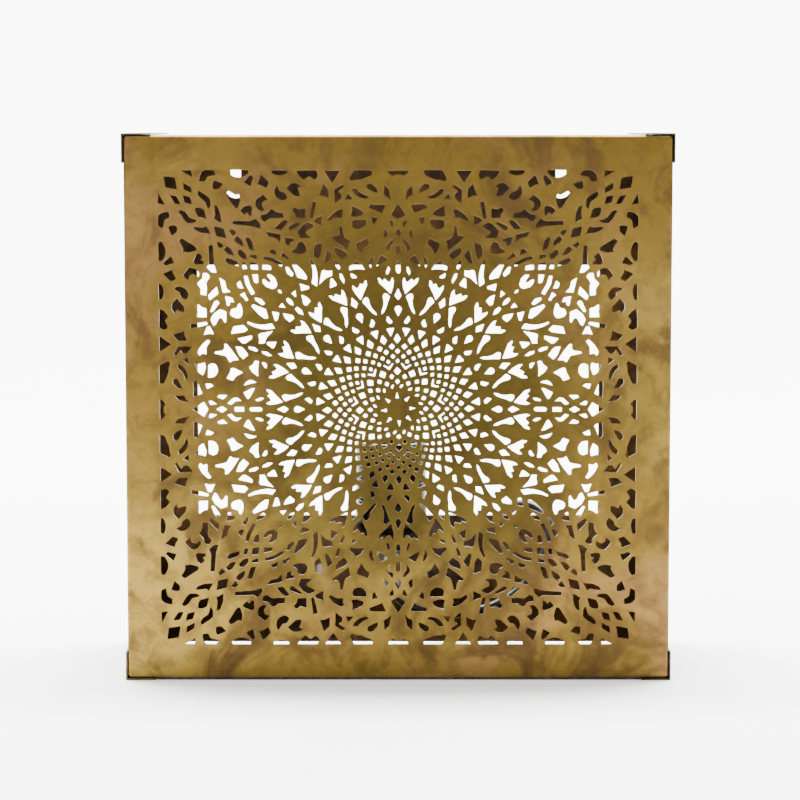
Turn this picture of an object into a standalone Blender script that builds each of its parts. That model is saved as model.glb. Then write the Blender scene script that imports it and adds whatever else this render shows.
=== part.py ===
"""Square pierced-brass wall light with an upright lampholder and its internal flex.

The pierced face looks along -Y, the wall is on the +Y side and +Z is up.
The origin is the centre of the base at half the depth. All sizes are in metres.
"""
import math

import bmesh
import bpy
from mathutils import Matrix, Vector

MM = 0.001
GAP = 0.3 * MM  # left between pieces that touch

# Shell: a pierced face with a rolled rim, four side walls and four corner angles
FACE_WIDTH = 300 * MM
FACE_HEIGHT = 300 * MM
BODY_DEPTH = 122 * MM
SHEET = 1.0 * MM
RIM_DEPTH = 6 * MM
RIM_RADIUS = 2 * MM
RIM_STEPS = 3
ANGLE_SHEET = 0.9 * MM
ANGLE_LEG = 15 * MM
ANGLE_SETBACK = 0.6 * MM  # from the face back to the front end of an angle

# Pierced field
BORDER = 19.5 * MM
LATTICE_RADII = [r * MM for r in (12.5, 17.5, 23.5, 30.5, 38.5, 47.5)]
LATTICE_COUNT = 16
LATTICE_HALF_WIDTH = 0.085  # half the angle of a lattice hole, in radians
MEDALLION_COUNT = 32
MEDALLION_INNER = 56 * MM
MEDALLION_OUTER = 76 * MM
TULIP_RADIUS = 67 * MM
TULIP_HALF_LENGTH = 5 * MM
TULIP_HALF_WIDTH = 3.2 * MM
SCROLL_RADIUS = 91 * MM
SCROLL_HALF_LENGTH = 6 * MM
CORNER_GRID = 3
CORNER_PITCH = 9.5 * MM
CORNER_HOLE = 3.4 * MM
CORNER_INSET = 26.5 * MM  # from the field's edges to the middle of a corner grid
EDGE_ARCH_COUNT = 8
EDGE_ARCH_WIDTH = 10 * MM
EDGE_ARCH_HEIGHT = 5 * MM

# Back panel: recessed, with edges turned towards the wall
BACK_RECESS = 14 * MM
BACK_SIDE_CLEARANCE = 0.5 * MM
BACK_TOP_CLEARANCE = 0.6 * MM
BACK_BOTTOM_GAP = 0.4 * MM  # the back panel's lower edge stands just clear of the corner angles
BOTTOM_SLOT = 13 * MM  # open slot across the bottom, in front of the back panel
BACK_LIP = 12 * MM
FLANGE_WIDTH = 32 * MM  # from the face's left and right edges to the window
FLANGE_HEIGHT = 76 * MM  # from its upper and lower edges to the window
WINDOW_LIP = 4 * MM
FOLD_STEP = 0.05 * MM  # the turned edges stand this far in from the panel's cut edges
KEYHOLE_SPACING = 190 * MM
KEYHOLE_DROP = 31 * MM
KEYHOLE_RADIUS = 6 * MM
KEYHOLE_SLOT = 6 * MM
KEYHOLE_TRAVEL = 12 * MM

# Fixings of the back panel, through the side walls into its lips
PANEL_SCREW_RADIUS = 1.5 * MM
PANEL_SCREW_HEAD = 2.8 * MM
PANEL_SCREW_HEAD_HEIGHT = 1.6 * MM
PANEL_SCREW_LENGTH = 7 * MM
PANEL_SCREW_SPACING = 200 * MM
PANEL_NUT_WIDTH = 5.5 * MM
PANEL_NUT_HEIGHT = 2.4 * MM

# Lampholder, measured from its lower end
HOLDER_X = -4 * MM
HOLDER_STANDOFF = 52 * MM  # from its axis to the back panel
HOLDER_RADIUS = 20.2 * MM
HOLDER_WALL = 2.0 * MM
HOLDER_NECK_RADIUS = 8.5 * MM
HOLDER_NECK_HEIGHT = 4 * MM
HOLDER_CAP_HEIGHT = 23 * MM
HOLDER_HEIGHT = 61.5 * MM
HOLDER_SPIGOT = 4 * MM
SPIGOT_WALL = 1.6 * MM
INSERT_HEIGHT = 9 * MM
INSERT_BASE = 25 * MM
SHELL_RADIUS = 13.6 * MM
SHELL_SHEET = 0.4 * MM
SHELL_WAVE = 0.5 * MM
SHELL_HEIGHT = 22 * MM
THREAD_TURNS = 5
CONTACT_WIDTH = 6 * MM
CONTACT_SHEET = 0.6 * MM
ROUND_STEPS = 24

# Nipple, its nuts and the bracket that carries the lampholder
NIPPLE_RADIUS = 5 * MM
NIPPLE_BELOW = 12 * MM
NIPPLE_ABOVE = 8 * MM
NUT_WIDTH = 14 * MM
NUT_HEIGHT = 3 * MM
WASHER_RADIUS = 8 * MM
WASHER_HEIGHT = 0.8 * MM
BUSH_RADIUS = 6.4 * MM
BUSH_HEIGHT = 3 * MM
BUSH_WALL = 0.5 * MM
BUSH_DEPTH = 2 * MM  # up inside the nipple
BUSH_CHAMFER = 1 * MM
BRACKET_WIDTH = 15 * MM
BRACKET_SHEET = 1.5 * MM
BRACKET_LEG = 31 * MM
BRACKET_NOSE = 11 * MM  # of the shelf in front of the nipple's axis
BRACKET_DROP = 13 * MM  # from the window's lower edge down to the shelf's top
BRACKET_SCREW_DROPS = (9 * MM, 24 * MM)
BRACKET_SCREW_RADIUS = 2 * MM
BRACKET_SCREW_HEAD = 3.6 * MM
BRACKET_SCREW_HEAD_HEIGHT = 2.2 * MM
BRACKET_SCREW_LENGTH = 7.5 * MM
BRACKET_NUT_WIDTH = 7 * MM
BRACKET_NUT_HEIGHT = 3.2 * MM
HOLE_CLEARANCE = 0.35 * MM

# Wiring behind the lower flange
CORD_RADIUS = 3 * MM
TERMINAL_X = 29 * MM
TERMINAL_DROP = 34.2 * MM  # from the window's lower edge to the middle of the block
TERMINAL_WIDTH = 15 * MM
TERMINAL_HEIGHT = 26 * MM
TERMINAL_DEPTH = 10.4 * MM
TERMINAL_POLES = 3
TERMINAL_PITCH = 8 * MM
TERMINAL_BORE = 2.1 * MM
INSERT_TUBE_RADIUS = 1.75 * MM
INSERT_TUBE_BORE = 1.3 * MM
INSERT_TUBE_INSET = 2 * MM
TERMINAL_SCREW_RADIUS = 1.4 * MM
TERMINAL_SCREW_HEAD = 2.4 * MM
TERMINAL_SCREW_HEAD_HEIGHT = 1.2 * MM
TERMINAL_SCREW_LENGTH = TERMINAL_DEPTH + 3 * MM
CLIP_SCREW_LENGTH = 4 * MM
CLIP_SHEET = 0.8 * MM
CLIP_WIDTH = 5 * MM
CLIP_FOOT = 8 * MM
EARTH_X = -46 * MM
EARTH_RISE = 43.6 * MM
EARTH_TAG_RADIUS = 4.2 * MM
EARTH_TAG_SHEET = 0.8 * MM

# Places that follow from the sizes above
BASE = ANGLE_SHEET + GAP  # the shell stands on the lower corner angles
TOP = BASE + FACE_HEIGHT
MIDDLE = BASE + FACE_HEIGHT / 2
HALF_WIDTH = FACE_WIDTH / 2
FRONT = -BODY_DEPTH / 2
REAR = BODY_DEPTH / 2
WALL_FRONT = FRONT + RIM_DEPTH + GAP
PANEL_FRONT = REAR - BACK_RECESS
PANEL_REAR = PANEL_FRONT + SHEET
PANEL_HALF = HALF_WIDTH - SHEET - BACK_SIDE_CLEARANCE
PANEL_TOP = TOP - SHEET - BACK_TOP_CLEARANCE
PANEL_BOTTOM = BASE + BACK_BOTTOM_GAP
WINDOW_HALF = HALF_WIDTH - FLANGE_WIDTH
WINDOW_BOTTOM = BASE + FLANGE_HEIGHT
WINDOW_TOP = TOP - FLANGE_HEIGHT
PANEL_SCREW_Y = PANEL_REAR + (BACK_LIP - SHEET) / 2
HOLDER_Y = PANEL_FRONT - HOLDER_STANDOFF
SHELF_TOP = WINDOW_BOTTOM - BRACKET_DROP
TERMINAL_Z = WINDOW_BOTTOM - TERMINAL_DROP
NIPPLE_BORE = CORD_RADIUS + BUSH_WALL + 2 * GAP
HOLDER_BASE = SHELF_TOP + WASHER_HEIGHT + 2 * GAP

# Centreline of the flex, from inside the nipple to the terminal block, in millimetres from the
# middle of the window's lower edge on the panel's front: (across, towards the wall, up)
FLEX_ROUTE = (
    (-4.0, -52.0, -23.2),
    (-4.0, -52.0, -28.7),
    (-3.2, -51.8, -34.7),
    (0.8, -51.0, -40.7),
    (7.2, -49.6, -45.6),
    (15.0, -47.8, -48.8),
    (24.0, -45.6, -50.4),
    (33.5, -43.0, -51.0),
    (43.0, -40.2, -50.6),
    (52.4, -37.2, -48.8),
    (61.4, -34.0, -45.2),
    (69.8, -30.8, -39.8),
    (77.2, -27.4, -32.6),
    (83.2, -23.8, -24.2),
    (87.2, -19.6, -15.2),
    (88.6, -14.6, -6.6),
    (86.8, -8.8, 0.2),
    (82.2, -2.6, 4.4),
    (75.8, 2.4, 5.9),
    (69.4, 6.3, 4.5),
    (64.6, 8.6, 0.2),
    (61.8, 9.4, -5.6),
    (61.0, 9.4, -11.8),
    (61.0, 9.4, -18.4),
    (59.0, 9.3, -25.0),
    (54.8, 9.0, -30.2),
    (49.0, 8.5, -33.2),
    (43.0, 8.1, -34.2),
    (37.2, 7.8, -34.2),
)
FLEX_POINTS = [Vector(point) * MM + Vector((0, PANEL_FRONT, WINDOW_BOTTOM)) for point in FLEX_ROUTE]
CLIP_STRETCH = (22, 23)  # the two points of the flex between which its clip sits


def clear_scene():
    for item in list(bpy.data.objects):
        bpy.data.objects.remove(item, do_unlink=True)


def make_material(name, colour, roughness, metallic):
    material = bpy.data.materials.new(name)
    material.use_nodes = True
    shader = material.node_tree.nodes["Principled BSDF"]
    shader.inputs["Base Color"].default_value = (*colour, 1.0)
    shader.inputs["Roughness"].default_value = roughness
    shader.inputs["Metallic"].default_value = metallic
    return material


def add_part(name, bm, material, smooth=False):
    """Turn a bmesh into a named object with one material."""
    mesh = bpy.data.meshes.new(name)
    bm.to_mesh(mesh)
    bm.free()
    if smooth:
        mesh.shade_smooth()
        mesh.set_sharp_from_angle(angle=math.radians(35))
    part = bpy.data.objects.new(name, mesh)
    bpy.context.collection.objects.link(part)
    mesh.materials.append(material)
    return part


def combine(bm, tool, operation):
    """Join tool to bm, or cut it out of bm, and free both; returns the new bmesh."""
    body = add_part("boolean_body", bm, None)
    other = add_part("boolean_tool", tool, None)
    modifier = body.modifiers.new(operation.lower(), "BOOLEAN")
    modifier.operation = operation
    modifier.solver = "EXACT"
    modifier.object = other
    depsgraph = bpy.context.evaluated_depsgraph_get()
    result = bmesh.new()
    result.from_mesh(body.evaluated_get(depsgraph).to_mesh())
    bpy.data.objects.remove(body, do_unlink=True)
    bpy.data.objects.remove(other, do_unlink=True)
    return result


def block(low, high):
    """Box between two opposite corners."""
    low = Vector(low)
    high = Vector(high)
    bm = bmesh.new()
    place = Matrix.Translation((low + high) / 2) @ Matrix.Diagonal((*(high - low), 1.0))
    bmesh.ops.create_cube(bm, size=1.0, matrix=place)
    return bm


def turned(profile, steps=ROUND_STEPS):
    """Solid turned round Z from (radius, height) points; on-axis points become poles."""
    bm = bmesh.new()
    ring = [bm.verts.new((radius, 0.0, height)) for radius, height in profile]
    closed = profile[0][0] > 0.0
    edges = [bm.edges.new(pair) for pair in zip(ring, ring[1:])]
    if closed:
        edges.append(bm.edges.new((ring[-1], ring[0])))
    bmesh.ops.spin(bm, geom=ring + edges, axis=(0, 0, 1), cent=(0, 0, 0), steps=steps,
                   angle=2 * math.pi, use_merge=True)
    bmesh.ops.remove_doubles(bm, verts=bm.verts, dist=0.001 * MM)
    bmesh.ops.recalc_face_normals(bm, faces=bm.faces)
    return bm


def tube(outer, inner, low, high, steps=ROUND_STEPS):
    return turned([(outer, low), (outer, high), (inner, high), (inner, low)], steps)


def regular_outline(count, radius, turn=0.0):
    angles = [turn + 2 * math.pi * i / count for i in range(count)]
    return [(radius * math.cos(a), radius * math.sin(a)) for a in angles]


def moved_outline(outline, x, y):
    return [(px + x, py + y) for px, py in outline]


def sheet(outline, holes, thickness):
    """Flat sheet with holes, in the XY plane from z = 0 to z = thickness."""
    bm = bmesh.new()
    edges = []
    for loop in [outline] + holes:
        ring = [bm.verts.new((x, y, 0.0)) for x, y in loop]
        edges += [bm.edges.new((ring[i - 1], ring[i])) for i in range(len(ring))]
    filled = bmesh.ops.triangle_fill(bm, use_beauty=True, use_dissolve=False, edges=edges)
    faces = [item for item in filled["geom"] if isinstance(item, bmesh.types.BMFace)]
    raised = bmesh.ops.extrude_face_region(bm, geom=faces)
    verts = [item for item in raised["geom"] if isinstance(item, bmesh.types.BMVert)]
    bmesh.ops.translate(bm, vec=(0.0, 0.0, thickness), verts=verts)
    bmesh.ops.recalc_face_normals(bm, faces=bm.faces)
    return bm


def place(bm, *steps):
    """Apply transforms in the order they are given."""
    for step in steps:
        bmesh.ops.transform(bm, matrix=step, verts=bm.verts)
    return bm


# Drawings in the XY plane stand up with X across, Y up and their thickness along +Y
STAND_UP = Matrix(((1, 0, 0, 0), (0, 0, 1, 0), (0, 1, 0, 0), (0, 0, 0, 1)))


def stand(bm, y, z=0.0, x=0.0):
    """Stand a sheet up with its front at y; the swap of axes mirrors it, so faces are flipped."""
    place(bm, STAND_UP, Matrix.Translation((x, y, z)))
    bmesh.ops.recalc_face_normals(bm, faces=bm.faces)
    return bm


def rectangle(x0, z0, x1, z1):
    return [(x0, z0), (x1, z0), (x1, z1), (x0, z1)]


def screw(radius, length, head_radius, head_height, steps=12):
    """Dome-headed screw along Z: the head rises from z = 0 and the shank hangs below."""
    profile = [
        (0.0, -length), (radius * 0.8, -length), (radius, -length + radius * 0.4), (radius, 0.0),
        (head_radius, 0.0), (head_radius, head_height * 0.35),
        (head_radius * 0.72, head_height * 0.85), (0.0, head_height),
    ]
    return turned(profile, steps)


def hex_nut(across_flats, bore, low, high):
    """Hexagonal nut round Z."""
    outline = regular_outline(6, across_flats / math.sqrt(3))
    nut = sheet(outline, [regular_outline(12, bore)], high - low)
    return place(nut, Matrix.Translation((0, 0, low)))


# ---------------------------------------------------------------- pierced face

def polar_hole(angle, points):
    """Hole drawn with (out, across) points from the centre of the face, turned to angle."""
    c, s = math.cos(angle), math.sin(angle)
    return [(out * c - across * s, out * s + across * c) for out, across in points]


def lattice_holes():
    """Diamonds of the crossing spirals, each ring turned half a step from the last."""
    holes = []
    for ring, radius in enumerate(LATTICE_RADII):
        half = radius * LATTICE_HALF_WIDTH + 0.3 * MM
        diamond = [(radius - half, 0.0), (radius, -half), (radius + half, 0.0), (radius, half)]
        for i in range(LATTICE_COUNT):
            angle = 2 * math.pi * (i + 0.5 * (ring % 2)) / LATTICE_COUNT
            holes.append(polar_hole(angle, diamond))
    return holes


def medallion_holes():
    """Ring of tapered slots with a kite between each pair."""
    holes = []
    slot = [(MEDALLION_INNER, -0.5 * MM), (MEDALLION_OUTER, -1.5 * MM),
            (MEDALLION_OUTER, 1.5 * MM), (MEDALLION_INNER, 0.5 * MM)]
    kite = [(TULIP_RADIUS - TULIP_HALF_LENGTH, 0.0), (TULIP_RADIUS + 2 * MM, -TULIP_HALF_WIDTH),
            (TULIP_RADIUS + TULIP_HALF_LENGTH, 0.0), (TULIP_RADIUS + 2 * MM, TULIP_HALF_WIDTH)]
    for i in range(MEDALLION_COUNT):
        angle = 2 * math.pi * i / MEDALLION_COUNT
        holes.append(polar_hole(angle, slot))
        holes.append(polar_hole(angle + math.pi / MEDALLION_COUNT, kite))
    return holes


def scroll_holes():
    """Leaf-shaped cuts outside the medallion, leaning left and right in turn."""
    holes = []
    for i in range(MEDALLION_COUNT):
        lean = 2.2 * MM if i % 2 else -2.2 * MM
        leaf = [(SCROLL_RADIUS - SCROLL_HALF_LENGTH, -lean), (SCROLL_RADIUS, -2.6 * MM),
                (SCROLL_RADIUS + SCROLL_HALF_LENGTH, lean), (SCROLL_RADIUS, 2.6 * MM)]
        holes.append(polar_hole(2 * math.pi * (i + 0.5) / MEDALLION_COUNT, leaf))
    return holes


def corner_holes(half_width, half_height):
    """Small squares on a grid in each corner of the field."""
    holes = []
    square = regular_outline(4, CORNER_HOLE)
    middle = (CORNER_GRID - 1) / 2
    for sx in (-1, 1):
        for sz in (-1, 1):
            for i in range(CORNER_GRID):
                for j in range(CORNER_GRID):
                    x = half_width - CORNER_INSET + (i - middle) * CORNER_PITCH
                    z = half_height - CORNER_INSET + (j - middle) * CORNER_PITCH
                    holes.append(moved_outline(square, sx * x, sz * z))
    return holes


def edge_holes(half_width, half_height):
    """Half-round cuts whose straight sides run along the plain border."""
    holes = []
    arch = [(-EDGE_ARCH_WIDTH / 2, 0.0), (EDGE_ARCH_WIDTH / 2, 0.0),
            (EDGE_ARCH_WIDTH / 3, -0.8 * EDGE_ARCH_HEIGHT), (0.0, -EDGE_ARCH_HEIGHT),
            (-EDGE_ARCH_WIDTH / 3, -0.8 * EDGE_ARCH_HEIGHT)]
    margin = CORNER_INSET + 2 * CORNER_PITCH
    for i in range(EDGE_ARCH_COUNT):
        share = 2 * i / (EDGE_ARCH_COUNT - 1) - 1
        across = share * (half_width - margin)
        up = share * (half_height - margin)
        for side in (-1, 1):
            holes.append([(across + u, side * (half_height + v)) for u, v in arch])
            holes.append([(side * (half_width + v), up + u) for u, v in arch])
    return holes


def make_front_panel(brass):
    """Pierced face whose edge rolls back into a short rim round all four sides."""
    half_width = HALF_WIDTH - BORDER
    half_height = FACE_HEIGHT / 2 - BORDER
    holes = lattice_holes() + medallion_holes() + scroll_holes()
    holes += corner_holes(half_width, half_height) + edge_holes(half_width, half_height)

    flat_x = HALF_WIDTH - RIM_RADIUS
    flat_z = FACE_HEIGHT / 2 - RIM_RADIUS
    bm = sheet(rectangle(-flat_x, -flat_z, flat_x, flat_z), holes, SHEET)
    stand(bm, FRONT)
    outer_walls = [f for f in bm.faces if abs(f.normal.y) < 0.5
                   and all(abs(v.co.x) > flat_x - MM or abs(v.co.z) > flat_z - MM for v in f.verts)]
    bmesh.ops.delete(bm, geom=outer_walls, context="FACES_ONLY")

    arc = [math.pi / 2 * i / RIM_STEPS for i in range(RIM_STEPS + 1)]
    inner = RIM_RADIUS - SHEET
    section = [(RIM_RADIUS * math.sin(a), FRONT + RIM_RADIUS * (1 - math.cos(a))) for a in arc]
    section += [(RIM_RADIUS, FRONT + RIM_DEPTH), (inner, FRONT + RIM_DEPTH)]
    section += [(inner * math.sin(a), FRONT + RIM_RADIUS - inner * math.cos(a)) for a in reversed(arc)]
    rings = []
    for out, y in section:
        corners = rectangle(-flat_x - out, -flat_z - out, flat_x + out, flat_z + out)
        rings.append([bm.verts.new((x, y, z)) for x, z in corners])
    for near, far in zip(rings, rings[1:]):
        for i in range(4):
            bm.faces.new((near[i - 1], near[i], far[i], far[i - 1]))
    bmesh.ops.remove_doubles(bm, verts=bm.verts, dist=0.01 * MM)
    bmesh.ops.recalc_face_normals(bm, faces=bm.faces)
    bmesh.ops.translate(bm, vec=(0, 0, MIDDLE), verts=bm.verts)
    return add_part("front_panel", bm, brass)


# ---------------------------------------------------------------- shell

def panel_screw_heights():
    return [MIDDLE - PANEL_SCREW_SPACING / 2, MIDDLE + PANEL_SCREW_SPACING / 2]


def make_side_walls(brass):
    """Left and right walls, full height, with clearance holes for the panel's screws."""
    hole = regular_outline(12, PANEL_SCREW_RADIUS + HOLE_CLEARANCE)
    for name, side in (("side_wall_left", -1), ("side_wall_right", 1)):
        holes = [moved_outline(hole, PANEL_SCREW_Y, z) for z in panel_screw_heights()]
        bm = sheet(rectangle(WALL_FRONT, BASE, REAR, TOP), holes, SHEET)
        # drawn with X as depth and Y as height, then turned to stand at the side
        turn = Matrix(((0, 0, 1, 0), (1, 0, 0, 0), (0, 1, 0, 0), (0, 0, 0, 1)))
        start = HALF_WIDTH - SHEET if side > 0 else -HALF_WIDTH
        place(bm, turn, Matrix.Translation((start, 0, 0)))
        add_part(name, bm, brass)


def make_top_and_bottom(brass):
    reach = HALF_WIDTH - SHEET - GAP
    add_part("top_wall", block((-reach, WALL_FRONT, TOP - SHEET), (reach, REAR, TOP)), brass)
    slot_front = PANEL_FRONT - BOTTOM_SLOT
    add_part("bottom_wall", block((-reach, WALL_FRONT, BASE), (reach, slot_front, BASE + SHEET)), brass)


def make_corner_angles(dark_metal):
    """Thin angles outside the four long corners; the lower two are what the light stands on."""
    inner = GAP
    outer = GAP + ANGLE_SHEET
    leg = ANGLE_LEG
    section = [(outer, outer), (outer, -leg), (inner, -leg), (inner, inner), (-leg, inner), (-leg, outer)]
    for height, z, up in (("bottom", BASE, -1), ("top", TOP, 1)):
        for hand, side in (("left", -1), ("right", 1)):
            outline = [(side * (HALF_WIDTH + u), z + up * v) for u, v in section]
            bm = stand(sheet(outline, [], REAR - FRONT - ANGLE_SETBACK), FRONT + ANGLE_SETBACK)
            add_part(f"corner_angle_{height}_{hand}", bm, dark_metal)


# ---------------------------------------------------------------- back panel

def keyhole(x):
    """Round entry with a slot above it."""
    z = TOP - KEYHOLE_DROP
    half_slot = KEYHOLE_SLOT / 2
    start = math.acos(half_slot / KEYHOLE_RADIUS)
    steps = 10
    sweep = math.pi + 2 * start
    outline = []
    for i in range(steps + 1):
        angle = start - sweep * i / steps
        outline.append((x + KEYHOLE_RADIUS * math.cos(angle), z + KEYHOLE_RADIUS * math.sin(angle)))
    slot_top = z + KEYHOLE_TRAVEL
    for i in range(5):
        angle = math.pi - math.pi * i / 4
        outline.append((x + half_slot * math.cos(angle), slot_top + half_slot * math.sin(angle)))
    return outline


def bracket_screw_heights():
    return [SHELF_TOP - drop for drop in BRACKET_SCREW_DROPS]


def clip_centre():
    """Middle of the flex clip, on the straight drop of the flex behind the lower flange."""
    above, below = CLIP_STRETCH
    return (FLEX_POINTS[above] + FLEX_POINTS[below]) / 2


def clip_screw_place():
    centre = clip_centre()
    return centre.x + CORD_RADIUS + CLIP_SHEET + CLIP_FOOT / 2 + GAP, centre.z


def terminal_screw_places():
    return [(TERMINAL_X, TERMINAL_Z + side * TERMINAL_PITCH / 2) for side in (-1, 1)]


def earth_place():
    return EARTH_X, PANEL_BOTTOM + EARTH_RISE


def make_back_panel(brass):
    """Recessed panel with a wide window, two keyholes and edges turned towards the wall."""
    window = rectangle(-WINDOW_HALF, WINDOW_BOTTOM, WINDOW_HALF, WINDOW_TOP)
    holes = [window, keyhole(-KEYHOLE_SPACING / 2), keyhole(KEYHOLE_SPACING / 2)]
    screw_hole = regular_outline(12, BRACKET_SCREW_RADIUS + HOLE_CLEARANCE)
    holes += [moved_outline(screw_hole, HOLDER_X, z) for z in bracket_screw_heights()]
    small_hole = regular_outline(10, TERMINAL_SCREW_RADIUS + HOLE_CLEARANCE)
    holes += [moved_outline(small_hole, x, z) for x, z in terminal_screw_places()]
    holes.append(moved_outline(small_hole, *clip_screw_place()))
    holes.append(moved_outline(screw_hole, *earth_place()))
    outline = rectangle(-PANEL_HALF, PANEL_BOTTOM, PANEL_HALF, PANEL_TOP)
    panel = stand(sheet(outline, holes, SHEET), PANEL_FRONT)

    outer = PANEL_HALF - FOLD_STEP
    inner = PANEL_HALF - SHEET
    outer_top = PANEL_TOP - FOLD_STEP
    channel = [(-outer, PANEL_BOTTOM + FOLD_STEP), (-outer, outer_top), (outer, outer_top),
               (outer, PANEL_BOTTOM + FOLD_STEP), (inner, PANEL_BOTTOM + FOLD_STEP),
               (inner, PANEL_TOP - SHEET), (-inner, PANEL_TOP - SHEET), (-inner, PANEL_BOTTOM + FOLD_STEP)]
    lips = stand(sheet(channel, [], BACK_LIP - SHEET / 2), PANEL_FRONT + SHEET / 2)
    panel = combine(panel, lips, "UNION")

    near_edge = rectangle(-WINDOW_HALF - FOLD_STEP, WINDOW_BOTTOM - FOLD_STEP,
                          WINDOW_HALF + FOLD_STEP, WINDOW_TOP + FOLD_STEP)
    frame = rectangle(-WINDOW_HALF - SHEET, WINDOW_BOTTOM - SHEET, WINDOW_HALF + SHEET, WINDOW_TOP + SHEET)
    window_lip = stand(sheet(frame, [near_edge], WINDOW_LIP + SHEET / 2), PANEL_FRONT + SHEET / 2)
    panel = combine(panel, window_lip, "UNION")

    side_hole = regular_outline(12, PANEL_SCREW_RADIUS + HOLE_CLEARANCE)
    for z in panel_screw_heights():
        drill = place(sheet(side_hole, [], 2 * PANEL_HALF + 4 * MM),
                      Matrix.Rotation(math.pi / 2, 4, "Y"),
                      Matrix.Translation((-PANEL_HALF - 2 * MM, PANEL_SCREW_Y, z)))
        panel = combine(panel, drill, "DIFFERENCE")
    return add_part("back_panel", panel, brass)


def make_panel_fixings(steel):
    """A dome-headed screw and a nut at each of the four points where the panel is held."""
    for height, z in zip(("lower", "upper"), panel_screw_heights()):
        for hand, side in (("left", -1), ("right", 1)):
            outwards = Matrix.Rotation(side * math.pi / 2, 4, "Y")
            head = place(screw(PANEL_SCREW_RADIUS, PANEL_SCREW_LENGTH, PANEL_SCREW_HEAD,
                               PANEL_SCREW_HEAD_HEIGHT), outwards,
                         Matrix.Translation((side * (HALF_WIDTH + GAP), PANEL_SCREW_Y, z)))
            add_part(f"panel_screw_{height}_{hand}", head, steel, smooth=True)
            nut_start = -(HALF_WIDTH - PANEL_HALF + SHEET + GAP)
            nut = place(hex_nut(PANEL_NUT_WIDTH, PANEL_SCREW_RADIUS + GAP, nut_start - PANEL_NUT_HEIGHT,
                                nut_start), outwards,
                        Matrix.Translation((side * HALF_WIDTH, PANEL_SCREW_Y, z)))
            add_part(f"panel_nut_{height}_{hand}", nut, steel)


# ---------------------------------------------------------------- lampholder

def on_holder_axis(bm, height=0.0):
    return place(bm, Matrix.Translation((HOLDER_X, HOLDER_Y, height)))


def make_lampholder(black_plastic, porcelain, nickel):
    """Three-part holder: cap, skirt, and a porcelain insert with the lamp's contacts."""
    r = HOLDER_RADIUS
    inner = r - HOLDER_WALL
    neck = HOLDER_NECK_RADIUS
    bore = NIPPLE_RADIUS + GAP
    cap_profile = [
        (bore, 0.0), (neck, 0.0), (neck, HOLDER_NECK_HEIGHT),
        (neck + 3 * MM, HOLDER_NECK_HEIGHT + 1.5 * MM),
        (r - 2.5 * MM, HOLDER_NECK_HEIGHT + 6 * MM), (r, HOLDER_NECK_HEIGHT + 11 * MM),
        (r, HOLDER_CAP_HEIGHT), (inner, HOLDER_CAP_HEIGHT), (inner, HOLDER_NECK_HEIGHT + 11.5 * MM),
        (inner - 2.5 * MM, HOLDER_NECK_HEIGHT + 8 * MM), (neck + 1 * MM, HOLDER_NECK_HEIGHT + 4 * MM),
        (bore, HOLDER_NECK_HEIGHT + 4 * MM),
    ]
    cap = on_holder_axis(turned(cap_profile), HOLDER_BASE)
    add_part("lampholder_cap", cap, black_plastic, smooth=True)

    spigot = inner - GAP
    spigot_bore = spigot - SPIGOT_WALL
    seat = SHELL_RADIUS + SHELL_WAVE + 0.8 * MM
    skirt_start = HOLDER_CAP_HEIGHT + GAP
    skirt_profile = [
        (spigot, skirt_start - HOLDER_SPIGOT), (spigot, skirt_start), (r, skirt_start),
        (r, HOLDER_HEIGHT - 1.2 * MM), (r - 1.2 * MM, HOLDER_HEIGHT), (seat + 0.6 * MM, HOLDER_HEIGHT),
        (seat, HOLDER_HEIGHT - 1 * MM), (seat, INSERT_BASE + INSERT_HEIGHT + GAP),
        (spigot_bore, INSERT_BASE + INSERT_HEIGHT + GAP), (spigot_bore, skirt_start - HOLDER_SPIGOT),
    ]
    skirt = on_holder_axis(turned(skirt_profile), HOLDER_BASE)
    add_part("lampholder_skirt", skirt, black_plastic, smooth=True)

    insert_radius = spigot_bore - GAP
    recess = SHELL_RADIUS - 3 * MM
    insert_profile = [
        (0.0, 0.0), (insert_radius - 2 * MM, 0.0),
        (insert_radius - 2 * MM, 2 * MM), (insert_radius, 2 * MM),
        (insert_radius, INSERT_HEIGHT), (recess, INSERT_HEIGHT), (recess, INSERT_HEIGHT - 3 * MM),
        (0.0, INSERT_HEIGHT - 3 * MM),
    ]
    insert_floor = HOLDER_BASE + INSERT_BASE
    add_part("lampholder_insert", on_holder_axis(turned(insert_profile), insert_floor), porcelain)

    pitch = SHELL_HEIGHT / THREAD_TURNS
    outer_wall = []
    for turn in range(THREAD_TURNS):
        outer_wall += [(SHELL_RADIUS, turn * pitch), (SHELL_RADIUS + SHELL_WAVE, (turn + 0.5) * pitch)]
    outer_wall.append((SHELL_RADIUS, SHELL_HEIGHT))
    inner_wall = [(radius - SHELL_SHEET, height) for radius, height in reversed(outer_wall)]
    shell_floor = insert_floor + INSERT_HEIGHT + GAP
    thread = turned(outer_wall + inner_wall, steps=20)
    add_part("lampholder_thread", on_holder_axis(thread, shell_floor), nickel, smooth=True)

    contact_floor = insert_floor + INSERT_HEIGHT - 3 * MM + GAP
    half = CONTACT_WIDTH / 2
    tongue = [(-8 * MM, 0.0), (2 * MM, 0.0), (7 * MM, 4.4 * MM), (3.5 * MM, 5.6 * MM),
              (3.3 * MM, 5.0 * MM), (6.0 * MM, 4.2 * MM), (1.8 * MM, CONTACT_SHEET), (-8 * MM, CONTACT_SHEET)]
    contact = stand(sheet(tongue, [], CONTACT_WIDTH), -half)
    add_part("lampholder_contact", on_holder_axis(contact, contact_floor), nickel)


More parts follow.
